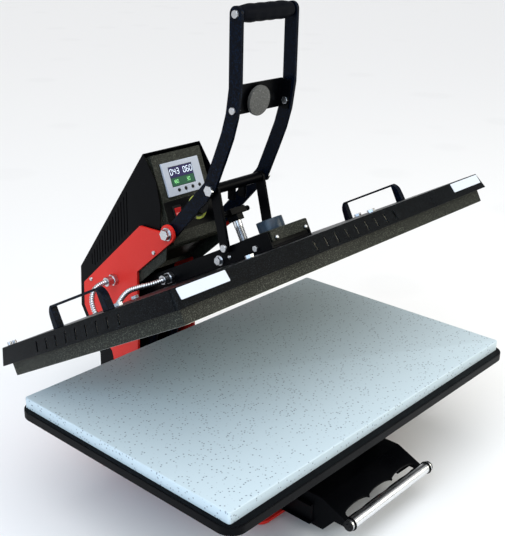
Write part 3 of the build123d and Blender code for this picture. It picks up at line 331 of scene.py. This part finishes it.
# %% Bare metals
bright_steel = finish(
    "bright_steel", metal, (0.44, 0.45, 0.47), (0.66, 0.67, 0.69), 700, 0.10, FINE, metallic=1.0,
)
tube_steel = finish(
    "brushed_tube", metal, (0.70, 0.71, 0.73), (0.86, 0.87, 0.88), 500, 0.08, FINE, metallic=1.0,
)
zinc = finish(
    "zinc_plate", metal, (0.52, 0.53, 0.55), (0.66, 0.67, 0.69), 400, 0.10, FINE, metallic=1.0,
)
hose_steel = finish(
    "hose_steel", metal, (0.50, 0.50, 0.51), (0.74, 0.74, 0.75), 600, 0.15, FINE, metallic=1.0,
)
alloy = finish(
    "coated_alloy", metal, (0.18, 0.19, 0.18), (0.26, 0.27, 0.25), 300, 0.10, FINE, metallic=0.7,
)
bronze = finish(
    "bronze", metal, (0.45, 0.28, 0.12), (0.60, 0.42, 0.20), 500, 0.10, FINE, metallic=1.0,
)
print("metals:", bright_steel.name, tube_steel.name, zinc.name, hose_steel.name)

# %% [markdown]
# Rubber, foam, silicone, plastic, print, board and insulation take the matte group. Only the specks
# of the pad stand out, as in the photo. In the others they are close to the base colour, which is
# enough to keep it from looking flat.

# %% Matte finishes
rubber = finish(
    "black_rubber", matte, (0.003, 0.003, 0.003), (0.009, 0.009, 0.009), 500, 0.3, shine=0.08,
)
foam = finish(
    "foam_skin", matte, (0.0015, 0.002, 0.004), (0.006, 0.008, 0.014), 900, 0.5, shine=0.05,
)
silicone = finish(
    "pad_silicone", matte, (0.54, 0.635, 0.68), (0.19, 0.23, 0.27), 200, 0.15, 0.0002, shine=0.3,
)
black_plastic = finish(
    "black_plastic", matte, (0.0025, 0.0025, 0.003),
    (0.005, 0.005, 0.006), 800, 0.12, FINE, shine=0.25,
)
pale_plastic = finish(
    "pale_plastic", matte, (0.50, 0.53, 0.60), (0.46, 0.49, 0.56), 700, 0.08, FINE,
)
red_plastic = finish(
    "red_plastic", matte, (0.62, 0.012, 0.012), (0.55, 0.01, 0.01), 700, 0.08, FINE, clear=0.5,
)
label_white = finish(
    "label_white", matte, (0.62, 0.66, 0.71), (0.57, 0.61, 0.66), 500, 0.06, FINE,
)
dial_print = finish(
    "dial_print", matte, (0.03, 0.035, 0.03), (0.05, 0.055, 0.05), 700, 0.08, FINE,
)
board_green = finish("board_green", matte, (0.02, 0.16, 0.06), (0.05, 0.24, 0.10), 500, 0.2)
blanket = finish("insulation_blanket", matte, (0.70, 0.68, 0.60), (0.60, 0.57, 0.50), 250, 0.6)
print("materials so far:", len(bpy.data.materials))

# %% [markdown]
# The imported model names a slot for each solid, and each slot has its usual finish. Some parts have
# another tint in the photo than the rest of their slot, so these get a finish of their own. The
# olive tint of the magnet box, skirt, panel and guard, like the blue tint of the black coat slot, is
# painted light.

# %% Finish of each solid
# The black coat slot takes the coat whose blue tint is painted cool light.
finish_of_slot = {
    "red_coat": red_coat, "slide_black": rail_coat, "black_coat": painted_cool_light_coat, "zinc": zinc,
    "bolt_steel": bright_steel, "tube_steel": tube_steel, "conduit_steel": hose_steel,
    "rubber": rubber, "foam": foam,
    "silicone": silicone, "black_plastic": black_plastic,
    "white_plastic": pale_plastic, "red_plastic": red_plastic, "screen": black_plastic,
    "dial_print": dial_print, "board": board_green, "heater_alloy": alloy,
    "plate_alloy": plain_coat, "insulation": blanket, "bronze": bronze,
    "magnet_blue": magnet_coat, "disc_grey": disc_coat, "label_white": label_white,
}
# These parts take the coat whose olive tint is painted warm light.
painted_warm_light_nodes = ["magnet_box", "plate_skirt", "control_panel", "front_guard"]
plain_nodes = [
    "arm_channel", "carriage", "support_frame", "cross_head", "knee_shaft", "links",
    "cross_plate", "tower_cover",
]
own_finish = {"platen_cover": cover_coat}
own_finish.update(dict.fromkeys(painted_warm_light_nodes, painted_warm_light_coat))
own_finish.update(dict.fromkeys(plain_nodes, plain_coat))
for name, solid in nodes.items():
    solid.data.materials.clear()
    solid.data.materials.append(own_finish.get(name, finish_of_slot[slot_of[name]]))
print(len(finish_of_slot), "slots have a finish, and", len(nodes), "solids wear one")

# %% [markdown]
# A solid from the model has knife-sharp edges, and real sheet and bar never do: a thin bright
# line runs along each edge. So most visible parts are copied, their loose triangles are merged
# into whole faces, and a Bevel modifier rounds the edges by a small radius of the part's own.
# The lever bars and the magnet box keep their plain solids, because the rounding left a dark
# wedge on the one and a groove on the other.


# %% Rounded copies of the solids
EDGE_ANGLE, FLAT_ANGLE, SAME_SPOT = 35, 0.6, 0.002 * MM


def show(name, shape, material, body, smooth_under=EDGE_ANGLE):
    """Makes an object of the mesh being built, with soft shading between nearly level faces."""
    mesh = bpy.data.meshes.new(name)
    shape.to_mesh(mesh)
    shape.free()
    mesh.shade_smooth()
    mesh.set_sharp_from_angle(angle=radians(smooth_under))
    mesh.materials.append(material)
    piece = bpy.data.objects.new(name, mesh)
    bpy.context.scene.collection.objects.link(piece)
    if body:
        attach(piece, body)
    return piece


def dressed(node, edge):
    """A copy of the solid with every edge rounded by that many millimetres."""
    shape = bmesh.new()
    shape.from_mesh(nodes[node].data)
    bmesh.ops.remove_doubles(shape, verts=shape.verts, dist=SAME_SPOT)
    bmesh.ops.dissolve_limit(
        shape, angle_limit=radians(FLAT_ANGLE), verts=shape.verts, edges=shape.edges
    )
    piece = show(node + "_dressed", shape, nodes[node].data.materials[0], nodes[node]["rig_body"])
    rounding = piece.modifiers.new("edge", "BEVEL")
    rounding.width = edge * MM
    rounding.segments = 2
    rounding.limit_method = "ANGLE"
    rounding.angle_limit = radians(EDGE_ANGLE)
    rounding.use_clamp_overlap = False
    rounding.harden_normals = True
    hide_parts(node)
    return piece


edge_radius = {
    "platen_cover": 0.8, "plate_skirt": 0.5, "arm_channel": 0.8, "cross_head": 0.8,
    "carry_handles": 1.0, "cross_plate": 0.6, "links": 0.7, "knee_shaft": 0.6, "latch_disc": 0.5,
    "side_plate_left": 0.7, "side_plate_right": 0.7, "control_panel": 0.5, "carriage": 0.7,
    "support_frame": 1.0, "lower_plate": 0.8, "base_plate": 1.0, "slide_beams": 0.6,
    "display_bezel": 0.9, "switch_frame": 0.5, "dial_knob": 0.5, "power_rocker": 0.4,
    "rubber_feet": 0.8, "channel_bolts": 0.5, "lever_bolts": 0.5, "link_bolts": 0.5,
    "lever_pivot_bolts": 0.6, "platen_studs": 0.5, "tower_screws": 0.4, "conduit_gland_base": 0.6,
    "conduit_gland_platen": 0.6, "tube_caps": 0.6, "label_plates": 0.2, "front_guard": 0.6,
}
for node, edge in edge_radius.items():
    dressed(node, edge)
print(len(edge_radius), "solids have rounded edges")

# %% [markdown]
# The hose between tower and platen is wound from metal strip, so it has a rib at each turn. Its
# line is a smooth curve that listed control points pull into place. The curve is only a
# guide: its points are read, and then it is removed.

# %% Line of the hose
hose_route = [
    (-107, 622, 100), (-133, 622, 100), (-150, 617, 80), (-154, 605, 55), (-150, 587, 40),
    (-145, 568, 48), (-138, 556, 73), (-130, 533, 112), (-120, 508, 125),
    (-105, 482.6, 134.6), (-79, 482.6, 134.6),
]
route = bpy.data.curves.new("hose_route", "CURVE")
route.dimensions = "3D"
route.resolution_u = 24
spline = route.splines.new("NURBS")
spline.points.add(len(hose_route) - 1)
for control, spot in zip(spline.points, hose_route):
    control.co = (*place(*spot), 1)
spline.order_u = 3
spline.use_endpoint_u = True
guide = bpy.data.objects.new("hose_route", route)
bpy.context.scene.collection.objects.link(guide)
bpy.context.view_layer.update()
drawn = guide.evaluated_get(bpy.context.evaluated_depsgraph_get())
guide_mesh = bpy.data.meshes.new_from_object(drawn)
hose_path = [v.co.copy() for v in guide_mesh.vertices]
bpy.data.objects.remove(guide)


def along(path, distance):
    """The point at that distance along a path, and the direction there."""
    for first, second in zip(path, path[1:]):
        run = (second - first).length
        if distance <= run or second is path[-1]:
            return first.lerp(second, min(distance / run, 1)), (second - first).normalized()
        distance -= run


path_length = sum((b - a).length for a, b in zip(hose_path, hose_path[1:]))
print("the hose's line is", round(path_length / MM, 1), "mm long")

# %% [markdown]
# The ribs are rings set along that line and bridged, narrow in the valleys and wide between them.
# This gives one closed skin, which loose rings would not.
# Each ring turns by the least angle from the one before it, so that the skin doesn't twist.

# %% Ribs of the hose
HOSE_DIAMETER, HOSE_VALLEY, HOSE_LENGTH = 11, 8.2, 0.2784
RIB_STEP, RINGS_PER_RIB, HOSE_SIDES = 4.6, 4, 20
rib_count = ceil(path_length / (RIB_STEP * MM))
ring_count = rib_count * RINGS_PER_RIB
shape = bmesh.new()
facing = Vector((0, 0, 1))
turned = Matrix.Identity(3)
previous = None
for index in range(ring_count + 1):
    spot, heading = along(hose_path, path_length * index / ring_count)
    turned = facing.rotation_difference(heading).to_matrix() @ turned
    facing = heading
    radius = (HOSE_VALLEY if index % RINGS_PER_RIB == 0 else HOSE_DIAMETER) / 2 * MM
    matrix = Matrix.Translation(spot) @ turned.to_4x4()
    ring = bmesh.ops.create_circle(shape, segments=HOSE_SIDES, radius=radius, matrix=matrix)
    loop = list({edge for vertex in ring["verts"] for edge in vertex.link_edges})
    if previous:
        bmesh.ops.bridge_loops(shape, edges=previous + loop)
        loop = [edge for edge in loop if edge.is_valid]
    previous = loop
bmesh.ops.holes_fill(shape, edges=shape.edges)
bmesh.ops.recalc_face_normals(shape, faces=shape.faces)
hose = show("ribbed_hose", shape, hose_steel, None, 60)
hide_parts("conduit")
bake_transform(hose)
print("the hose has", rib_count, "ribs")

# %% [markdown]
# Round parts such as the screw, the magnet and the grip are turned on a lathe or moulded round
# an axis. Spinning a half outline about that axis makes them, and merging the seam closes them.
# The outline is in millimetres, and the matrix at the end turns it and brings it to metres.


# %% Lathe
SEAM_GAP = 0.001


def lathe(
    name, outline, matrix, material, body, steps=48, closed=False, rise=0.0, smooth_under=40
):
    """Spins an outline of (radius, height) points about the height axis; rise makes it a screw."""
    shape = bmesh.new()
    verts = [shape.verts.new((radius, 0, height)) for radius, height in outline]
    edges = [shape.edges.new(pair) for pair in zip(verts, verts[1:])]
    if closed:
        edges.append(shape.edges.new((verts[-1], verts[0])))
    bmesh.ops.spin(
        shape, geom=verts + edges, cent=(0, 0, 0), axis=(0, 0, 1), dvec=(0, 0, rise / steps),
        angle=2 * pi, steps=steps, use_merge=not rise, use_duplicate=False,
    )
    bmesh.ops.remove_doubles(shape, verts=shape.verts, dist=SEAM_GAP)
    bmesh.ops.holes_fill(shape, edges=shape.edges)
    bmesh.ops.recalc_face_normals(shape, faces=shape.faces)
    bmesh.ops.transform(shape, matrix=matrix, verts=shape.verts)
    return show(name, shape, material, body, smooth_under)


print("the lathe merges points within", SEAM_GAP, "mm")

# %% [markdown]
# The pressure screw carries the load from the lever to the platen. Its thread is a helix, so the
# toothed outline rises by one pitch in each turn. It stands in a hex nut, and its top is smooth.

# %% Pressure screw with its nut
SCREW_AT, SCREW_RADIUS, SCREW_ROOT, PITCH = 268, 8.7, 7.2, 3.0
NUT_LOW, NUT_HIGH, NUT_RADIUS, NUT_BEVEL = 35, 44, 15, 0.8
THREAD_TOP, HEAD_LOW, STUB_RADIUS = 92, 103, 8.5
screw_frame = PLATEN @ Matrix.Translation((0, SCREW_AT, 0))
teeth = []
for index in range(int((THREAD_TOP - NUT_LOW) / PITCH)):
    tooth = NUT_LOW + index * PITCH
    teeth += [(SCREW_ROOT, tooth), (SCREW_RADIUS, tooth + PITCH / 2)]
thread = lathe(
    "screw_thread", teeth, screw_frame, bright_steel, "upper_platen", 36, rise=PITCH,
    smooth_under=20,
)
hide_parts("pressure_screw")
stub_outline = [
    (0, THREAD_TOP - 2), (8.1, THREAD_TOP - 2), (STUB_RADIUS, THREAD_TOP), (STUB_RADIUS, HEAD_LOW),
    (0, HEAD_LOW),
]
stub = lathe("screw_stub", stub_outline, screw_frame, tube_steel, "upper_platen")


def round_edges(shape, edges, radius, segments):
    """Rounds some edges of the mesh being built."""
    bmesh.ops.bevel(
        shape, geom=edges, offset=radius, segments=segments, profile=0.5, affect="EDGES",
        material=-1,
    )


shape = bmesh.new()
bmesh.ops.create_cone(
    shape, cap_ends=True, segments=6, radius1=NUT_RADIUS, radius2=NUT_RADIUS,
    depth=NUT_HIGH - NUT_LOW, matrix=Matrix.Translation((0, 0, (NUT_LOW + NUT_HIGH) / 2)),
)
round_edges(shape, shape.edges[:], NUT_BEVEL, 2)
bmesh.ops.transform(shape, matrix=screw_frame, verts=shape.verts)
nut = show("screw_nut", shape, bright_steel, "upper_platen")
print("thread has", len(teeth) // 2, "teeth")

# %% [markdown]
# Two screws hold the magnet box, and one more stands on the left wall of the channel. They are
# small pan heads, turned like the other round parts and set flat on the sheet that they fasten.

# %% Small pan heads
PAN_HEAD = [(0, 0), (4.2, 0), (4.2, 0.9), (3.6, 1.9), (2.2, 2.4), (0, 2.5)]
BOX_SCREW_X, BOX_SCREW_RISE, WALL_SCREW = 40, 48, (-55, 262, 43.5)
TO_FRONT, TO_LEFT = Matrix.Rotation(pi / 2, 4, "X"), Matrix.Rotation(-pi / 2, 4, "Y")
box_front = min((PLATEN.inverted() @ v.co).y for v in nodes["magnet_box"].data.vertices)
pan_frames = [
    ("box_screw_left", (-BOX_SCREW_X, box_front, BOX_SCREW_RISE), TO_FRONT),
    ("box_screw_right", (BOX_SCREW_X, box_front, BOX_SCREW_RISE), TO_FRONT),
    ("wall_screw", WALL_SCREW, TO_LEFT),
]
for name, spot, side in pan_frames:
    seat = Matrix.Translation(spot) @ side
    lathe(name, PAN_HEAD, PLATEN @ seat, bright_steel, "upper_platen", 24)
print("box front at", round(box_front, 1), "mm, three pan heads")

# %% [markdown]
# The holding magnet is a steel pot with a coil set in resin round a centre pole. From above that
# is a rim, a sunken ring of resin, and a pole with a screw hole, all in one turned outline.

# %% Holding magnet
MAGNET_AT = 189
magnet_outline = [
    (0, 64), (25, 64), (25, 82.5), (24.4, 83.6), (23.2, 84), (20.5, 84), (20.2, 83.2), (13.8, 83.2),
    (13.5, 84), (4.4, 84), (4, 83.6), (4, 79), (0, 79),
]
magnet_frame = PLATEN @ Matrix.Translation((0, MAGNET_AT, 0))
magnet = lathe("holding_magnet", magnet_outline, magnet_frame, magnet_coat, "upper_platen", 64)
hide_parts("electromagnet")
print("magnet turned from", len(magnet_outline), "points")

# %% [markdown]
# The grip is a foam sleeve moulded with shallow finger waves and rounded ends. Its half outline
# is spun about the grip rod, and a Subdivision Surface modifier makes the waves flow.

# %% Foam grip
GRIP_AT, GRIP_HALF, GRIP_BORE, GRIP_END, END_ROUND = (0, 299, 654), 66, 6, 10.5, 1.2
grip_waves = [13, 14.5, 16.5, 14.3, 16.3, 14.3, 16.3, 14.3, 16.5, 14.5, 13]
wave_step = 2 * (GRIP_HALF - END_ROUND) / (len(grip_waves) - 1)
grip_outline = [(GRIP_BORE, -GRIP_HALF), (GRIP_END, -GRIP_HALF)]
grip_outline += [(r, -GRIP_HALF + END_ROUND + i * wave_step) for i, r in enumerate(grip_waves)]
grip_outline += [(GRIP_END, GRIP_HALF), (GRIP_BORE, GRIP_HALF)]
grip_frame = PRESS @ Matrix.Translation(GRIP_AT) @ Matrix.Rotation(pi / 2, 4, "Y")
grip = lathe(
    "foam_sleeve", grip_outline, grip_frame, foam, "press_handle", 40, closed=True,
    smooth_under=180,
)
soften = grip.modifiers.new("soft", "SUBSURF")
soften.levels = soften.render_levels = 2
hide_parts("foam_grip")
print("grip has", len(grip_waves), "waves")

# %% [markdown]
# The pad is a slab of silicone sponge, flat on top so that the print presses evenly, with soft
# corners and a soft rim. A cube is bevelled first at its corners and then along its rim. That
# keeps the top exactly flat, which a softened or sculpted slab would not.

# %% Silicone pad
PAD_CORNER, PAD_RIM, NEAR_TOP = 5, 1.8, -0.1
shape = bmesh.new()
slab_size = Matrix.Diagonal((PAD_WIDTH, PAD_DEPTH, PAD_THICK, 1))
slab = Matrix.Translation((0, PAD_DEPTH / 2, -PAD_THICK / 2)) @ slab_size
bmesh.ops.create_cube(shape, size=1, matrix=slab)
corners = [e for e in shape.edges if abs(e.verts[0].co.z - e.verts[1].co.z) > PAD_THICK / 2]
round_edges(shape, corners, PAD_CORNER, 6)
rim = [e for e in shape.edges if min(e.verts[0].co.z, e.verts[1].co.z) > NEAR_TOP]
round_edges(shape, rim, PAD_RIM, 4)
bmesh.ops.transform(shape, matrix=PRESS, verts=shape.verts)
pad = show("sponge_pad", shape, silicone, "drawer", 40)
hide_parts("silicone_pad")
print("pad", PAD_WIDTH, "by", PAD_DEPTH, "mm")

# %% [markdown]
# The display is a lit window: violet above and green below, with two rows of plain numbers. A
# screen lights its colours evenly, so each is a material that glows, with a faint noise in it.
# That is simpler than lamps behind a glass, and the glow belongs to the piece itself.


# %% Glowing materials
def lit(name, colour, strength):
    """A material that glows in one colour, a little uneven as a real backlight is."""
    material = bpy.data.materials.new(name)
    material.use_nodes = True
    tree = material.node_tree
    shader = tree.nodes["Principled BSDF"]
    spot = add_node(tree, "ShaderNodeTexCoord")
    glow = add_node(tree, "ShaderNodeTexNoise", {"Scale": 400.0})
    shade = add_range(tree, 0.0, 1.0, 0.85, 1.0)
    tint = add_node(tree, "ShaderNodeMix", data_type="RGBA")
    tint.inputs[MIX_FIRST].default_value = (0, 0, 0, 1)
    tint.inputs[MIX_SECOND].default_value = (*colour, 1)
    tree.links.new(spot.outputs["Object"], glow.inputs["Vector"])
    tree.links.new(glow.outputs["Fac"], shade.inputs["Value"])
    tree.links.new(shade.outputs["Result"], tint.inputs[MIX_BY])
    tree.links.new(tint.outputs[MIX_OUT], shader.inputs["Base Color"])
    tree.links.new(tint.outputs[MIX_OUT], shader.inputs["Emission Color"])
    shader.inputs["Emission Strength"].default_value = strength
    shader.inputs["Roughness"].default_value = 0.3
    shader.inputs["Specular IOR Level"].default_value = 0.1
    return material


violet_light = lit("violet_window", (0.014, 0.012, 0.06), 0.6)
green_light = lit("green_window", (0.012, 0.07, 0.035), 0.6)
white_light = lit("white_figures", (0.75, 0.85, 0.95), 1.0)
green_figures = lit("green_figures", (0.30, 0.85, 0.30), 0.9)
print("glowing:", violet_light.name, green_light.name, white_light.name, green_figures.name)

# %% [markdown]
# What lies on the panel is placed in the panel's own frame: across, up and out of its face. One
# helper reads how far a solid stands out, and another adds a small block there. The two halves
# of the window are thin blocks just over the screen, so neither is hidden in it.

# %% Lit window of the display
SCREEN_U, WINDOW_WIDTH, LAYER = -3, 60, 0.1


def front_of(node):
    """How far a node stands out of the panel's face, in millimetres."""
    inward = PANEL.inverted()
    return max((inward @ v.co).z for v in nodes[node].data.vertices)


def panel_bar(shape, u, v, n, width, height, thick):
    """Adds a small block on the panel's face to the mesh being built."""
    bar_size = Matrix.Diagonal((width, height, thick, 1))
    bmesh.ops.create_cube(shape, size=1, matrix=PANEL @ Matrix.Translation((u, v, n)) @ bar_size)


window_n = front_of("display_screen") + LAYER
windows = [("window_top", violet_light, 12, 21), ("window_low", green_light, -6.9, 16)]
for name, light, v, height in windows:
    shape = bmesh.new()
    panel_bar(shape, SCREEN_U, v, window_n, WINDOW_WIDTH, height, LAYER)
    show(name, shape, light, "base")
print("display window stands", round(window_n, 2), "mm out of the panel")

# %% [markdown]
# The numbers are built from bars, as on a real display with seven bars for each figure, and glow
# a little. Text objects would bring a font's curves, and bars are closer to the real thing.

# %% Figures of the display
# For each bar: its place across and up the figure, and whether it stands upright.
BARS = {
    "top": (0, 1, 0), "mid": (0, 0, 0), "low": (0, -1, 0), "ul": (-1, 0.5, 1), "ur": (1, 0.5, 1),
    "ll": (-1, -0.5, 1), "lr": (1, -0.5, 1),
}
FIGURES = {
    "0": "top low ul ur ll lr", "1": "ur lr", "3": "top mid low ur lr", "4": "mid ul ur lr",
    "6": "top mid low ul ll lr", "8": "top mid low ul ur ll lr",
}
# Shares of a figure's height: the step to the next one, and a bar's length, width and places.
FIGURE_STEP, BAR_LENGTH, BAR_WIDTH, BAR_ACROSS, BAR_RISE = 0.72, 0.36, 0.1, 0.23, 0.45
BAR_THICK = 0.12


def write_number(shape, digits, u, v, size, n):
    """Adds the bars of a row of figures, each size millimetres high."""
    for index, digit in enumerate(digits):
        if digit == " ":
            continue
        middle = u + index * size * FIGURE_STEP
        for bar in FIGURES[digit].split():
            across, rise, upright = BARS[bar]
            width, height = size * BAR_LENGTH, size * BAR_WIDTH
            if upright:
                width, height = height, width
            bar_u, bar_v = middle + across * size * BAR_ACROSS, v + rise * size * BAR_RISE
            panel_bar(shape, bar_u, bar_v, n, width, height, BAR_THICK)


figure_n = window_n + LAYER
shape = bmesh.new()
write_number(shape, "043 060", SCREEN_U - 25, 13, 12, figure_n)
show("display_figures", shape, white_light, "base")
shape = bmesh.new()
write_number(shape, "180", SCREEN_U - 24, -6.5, 7, figure_n)
write_number(shape, "30", SCREEN_U + 12, -6.5, 7, figure_n)
show("display_settings", shape, green_figures, "base")
print("figures stand", round(figure_n, 2), "mm out of the panel")

# %% [markdown]
# Below the display the panel is plain black behind the rocker and the dial. The field is a thin
# plate, almost as wide as the panel's face. Its width is read from the panel's own corners, so
# that it can't run past them.

# %% Black field of the panel
FIELD_TOP, FIELD_LOW, FIELD_THICK, FIELD_MARGIN, PRINT_GAP = -40, -100, 0.3, 1.5, 0.02
panel_spots = [PANEL.inverted() @ v.co for v in nodes["control_panel"].data.vertices]
face_spots = [p for p in panel_spots if abs(p.z) < 0.5 and FIELD_LOW < p.y]
field_half = max(abs(p.x) for p in face_spots) - FIELD_MARGIN
field_v, field_n = (FIELD_TOP + FIELD_LOW) / 2, FIELD_THICK / 2 + PRINT_GAP
shape = bmesh.new()
panel_bar(shape, 0, field_v, field_n, 2 * field_half, FIELD_TOP - FIELD_LOW, FIELD_THICK)
show("panel_field", shape, plain_coat, "base")
print("field reaches", round(field_half, 1), "mm to each side")

# %% [markdown]
# The dial has two printed yellow-green arcs round its knob, and the knob has a pale mark that
# shows where it points. A spin of a short radial edge makes an arc of any angle, and a small bar
# makes the mark. The mark is a piece of its own because it has to turn with the knob.

# %% Dial arcs and knob mark
DIAL_U, DIAL_V = 17, -65.4
ARC_IN, ARC_OUT, ARC_THICK, ARC_STEPS = 5.2, 0.6, 0.12, 28
MARK_RISE, MARK_WIDTH, MARK_LENGTH, MARK_THICK = 3.2, 1.2, 5.5, 0.15
dial_arcs = [(61, 105), (-117, 99)]  # where each starts and how far it sweeps, in degrees
dial_spots = [PANEL.inverted() @ v.co for v in nodes["dial_plate"].data.vertices]
dial_reach = max(((p.x - DIAL_U) ** 2 + (p.y - DIAL_V) ** 2) ** 0.5 for p in dial_spots)
arc_ink = finish("arc_ink", matte, (0.55, 0.62, 0.08), (0.45, 0.52, 0.06), 700, 0.06, FINE)
mark_ink = finish("mark_ink", matte, (0.80, 0.80, 0.78), (0.70, 0.70, 0.68), 700, 0.06, FINE)
arc_spot = Matrix.Translation((DIAL_U, DIAL_V, front_of("dial_plate") + PRINT_GAP))
for index, (start, sweep) in enumerate(dial_arcs):
    shape = bmesh.new()
    inner = shape.verts.new((dial_reach - ARC_IN, 0, 0))
    outer = shape.verts.new((dial_reach - ARC_OUT, 0, 0))
    strip = shape.edges.new((inner, outer))
    bmesh.ops.spin(
        shape, geom=[inner, outer, strip], cent=(0, 0, 0), axis=(0, 0, 1), dvec=(0, 0, 0),
        angle=radians(sweep), steps=ARC_STEPS, use_merge=False, use_duplicate=False,
    )
    bmesh.ops.recalc_face_normals(shape, faces=shape.faces)
    bmesh.ops.solidify(shape, geom=shape.faces[:], thickness=-ARC_THICK)
    arc_turn = Matrix.Rotation(radians(start), 4, "Z")
    bmesh.ops.transform(shape, matrix=PANEL @ arc_spot @ arc_turn, verts=shape.verts)
    bmesh.ops.recalc_face_normals(shape, faces=shape.faces)
    show("dial_arc_" + str(index + 1), shape, arc_ink, "base")
shape = bmesh.new()
mark_v, mark_n = DIAL_V + MARK_RISE, front_of("dial_knob") + PRINT_GAP
panel_bar(shape, DIAL_U, mark_v, mark_n, MARK_WIDTH, MARK_LENGTH, MARK_THICK)
show("knob_mark", shape, mark_ink, "pressure_knob")
print("dial plate reaches", round(dial_reach, 1), "mm")

# %% [markdown]
# The stage is a wide pale floor and a pale sky, so that the dark coats stand out. Two large soft
# lamps give long, gentle highlights: a cool one from the left and a slightly warm one from the
# front right, as the blue and olive tones of the coats suggest. A sun from above with a very wide
# disc lights the floor evenly and casts no hard shadow.

# %% Floor and lights
FLOOR_HALF, SKY_COLOUR, SKY_STRENGTH = 30, (0.95, 0.97, 1.0, 1), 0.45
LAMP_POWER, LAMP_AIM, SUN_STRENGTH, SUN_WIDTH = 42, (0, 0, 0.4), 2.1, 70
shape = bmesh.new()
bmesh.ops.create_grid(shape, x_segments=4, y_segments=4, size=FLOOR_HALF)
floor_finish = finish(
    "pale_floor", matte, (0.86, 0.86, 0.86), (0.84, 0.84, 0.84), 3, 0.02, FINE,
)
floor = show("floor", shape, floor_finish, None)

world = bpy.data.worlds.new("pale_sky")
world.use_nodes = True
sky = world.node_tree.nodes["Background"]
sky.inputs["Color"].default_value = SKY_COLOUR
sky.inputs["Strength"].default_value = SKY_STRENGTH
bpy.context.scene.world = world


def soft_lamp(name, spot, size, colour):
    """A square lamp that shines at the middle of the press."""
    light = bpy.data.lights.new(name, "AREA")
    light.size = size
    light.energy = LAMP_POWER
    light.color = colour
    lamp = bpy.data.objects.new(name, light)
    bpy.context.scene.collection.objects.link(lamp)
    facing = (Vector(LAMP_AIM) - Vector(spot)).to_track_quat("-Z", "Y")
    lamp.matrix_world = Matrix.Translation(spot) @ facing.to_matrix().to_4x4()


soft_lamp("left_lamp", (-2.6, -0.8, 1.7), 1.8, (0.55, 0.76, 1.0))
soft_lamp("right_lamp", (1.9, -2.6, 1.9), 1.6, (1.0, 0.97, 0.82))
daylight = bpy.data.lights.new("daylight", "SUN")
daylight.energy = SUN_STRENGTH
daylight.angle = radians(SUN_WIDTH)
day = bpy.data.objects.new("daylight", daylight)
bpy.context.scene.collection.objects.link(day)
day.matrix_world = Vector((0.3, 0.25, -1)).to_track_quat("-Z", "Y").to_matrix().to_4x4()
bpy.context.scene.view_settings.view_transform = "Standard"
print("floor, sky, two lamps and a sun")
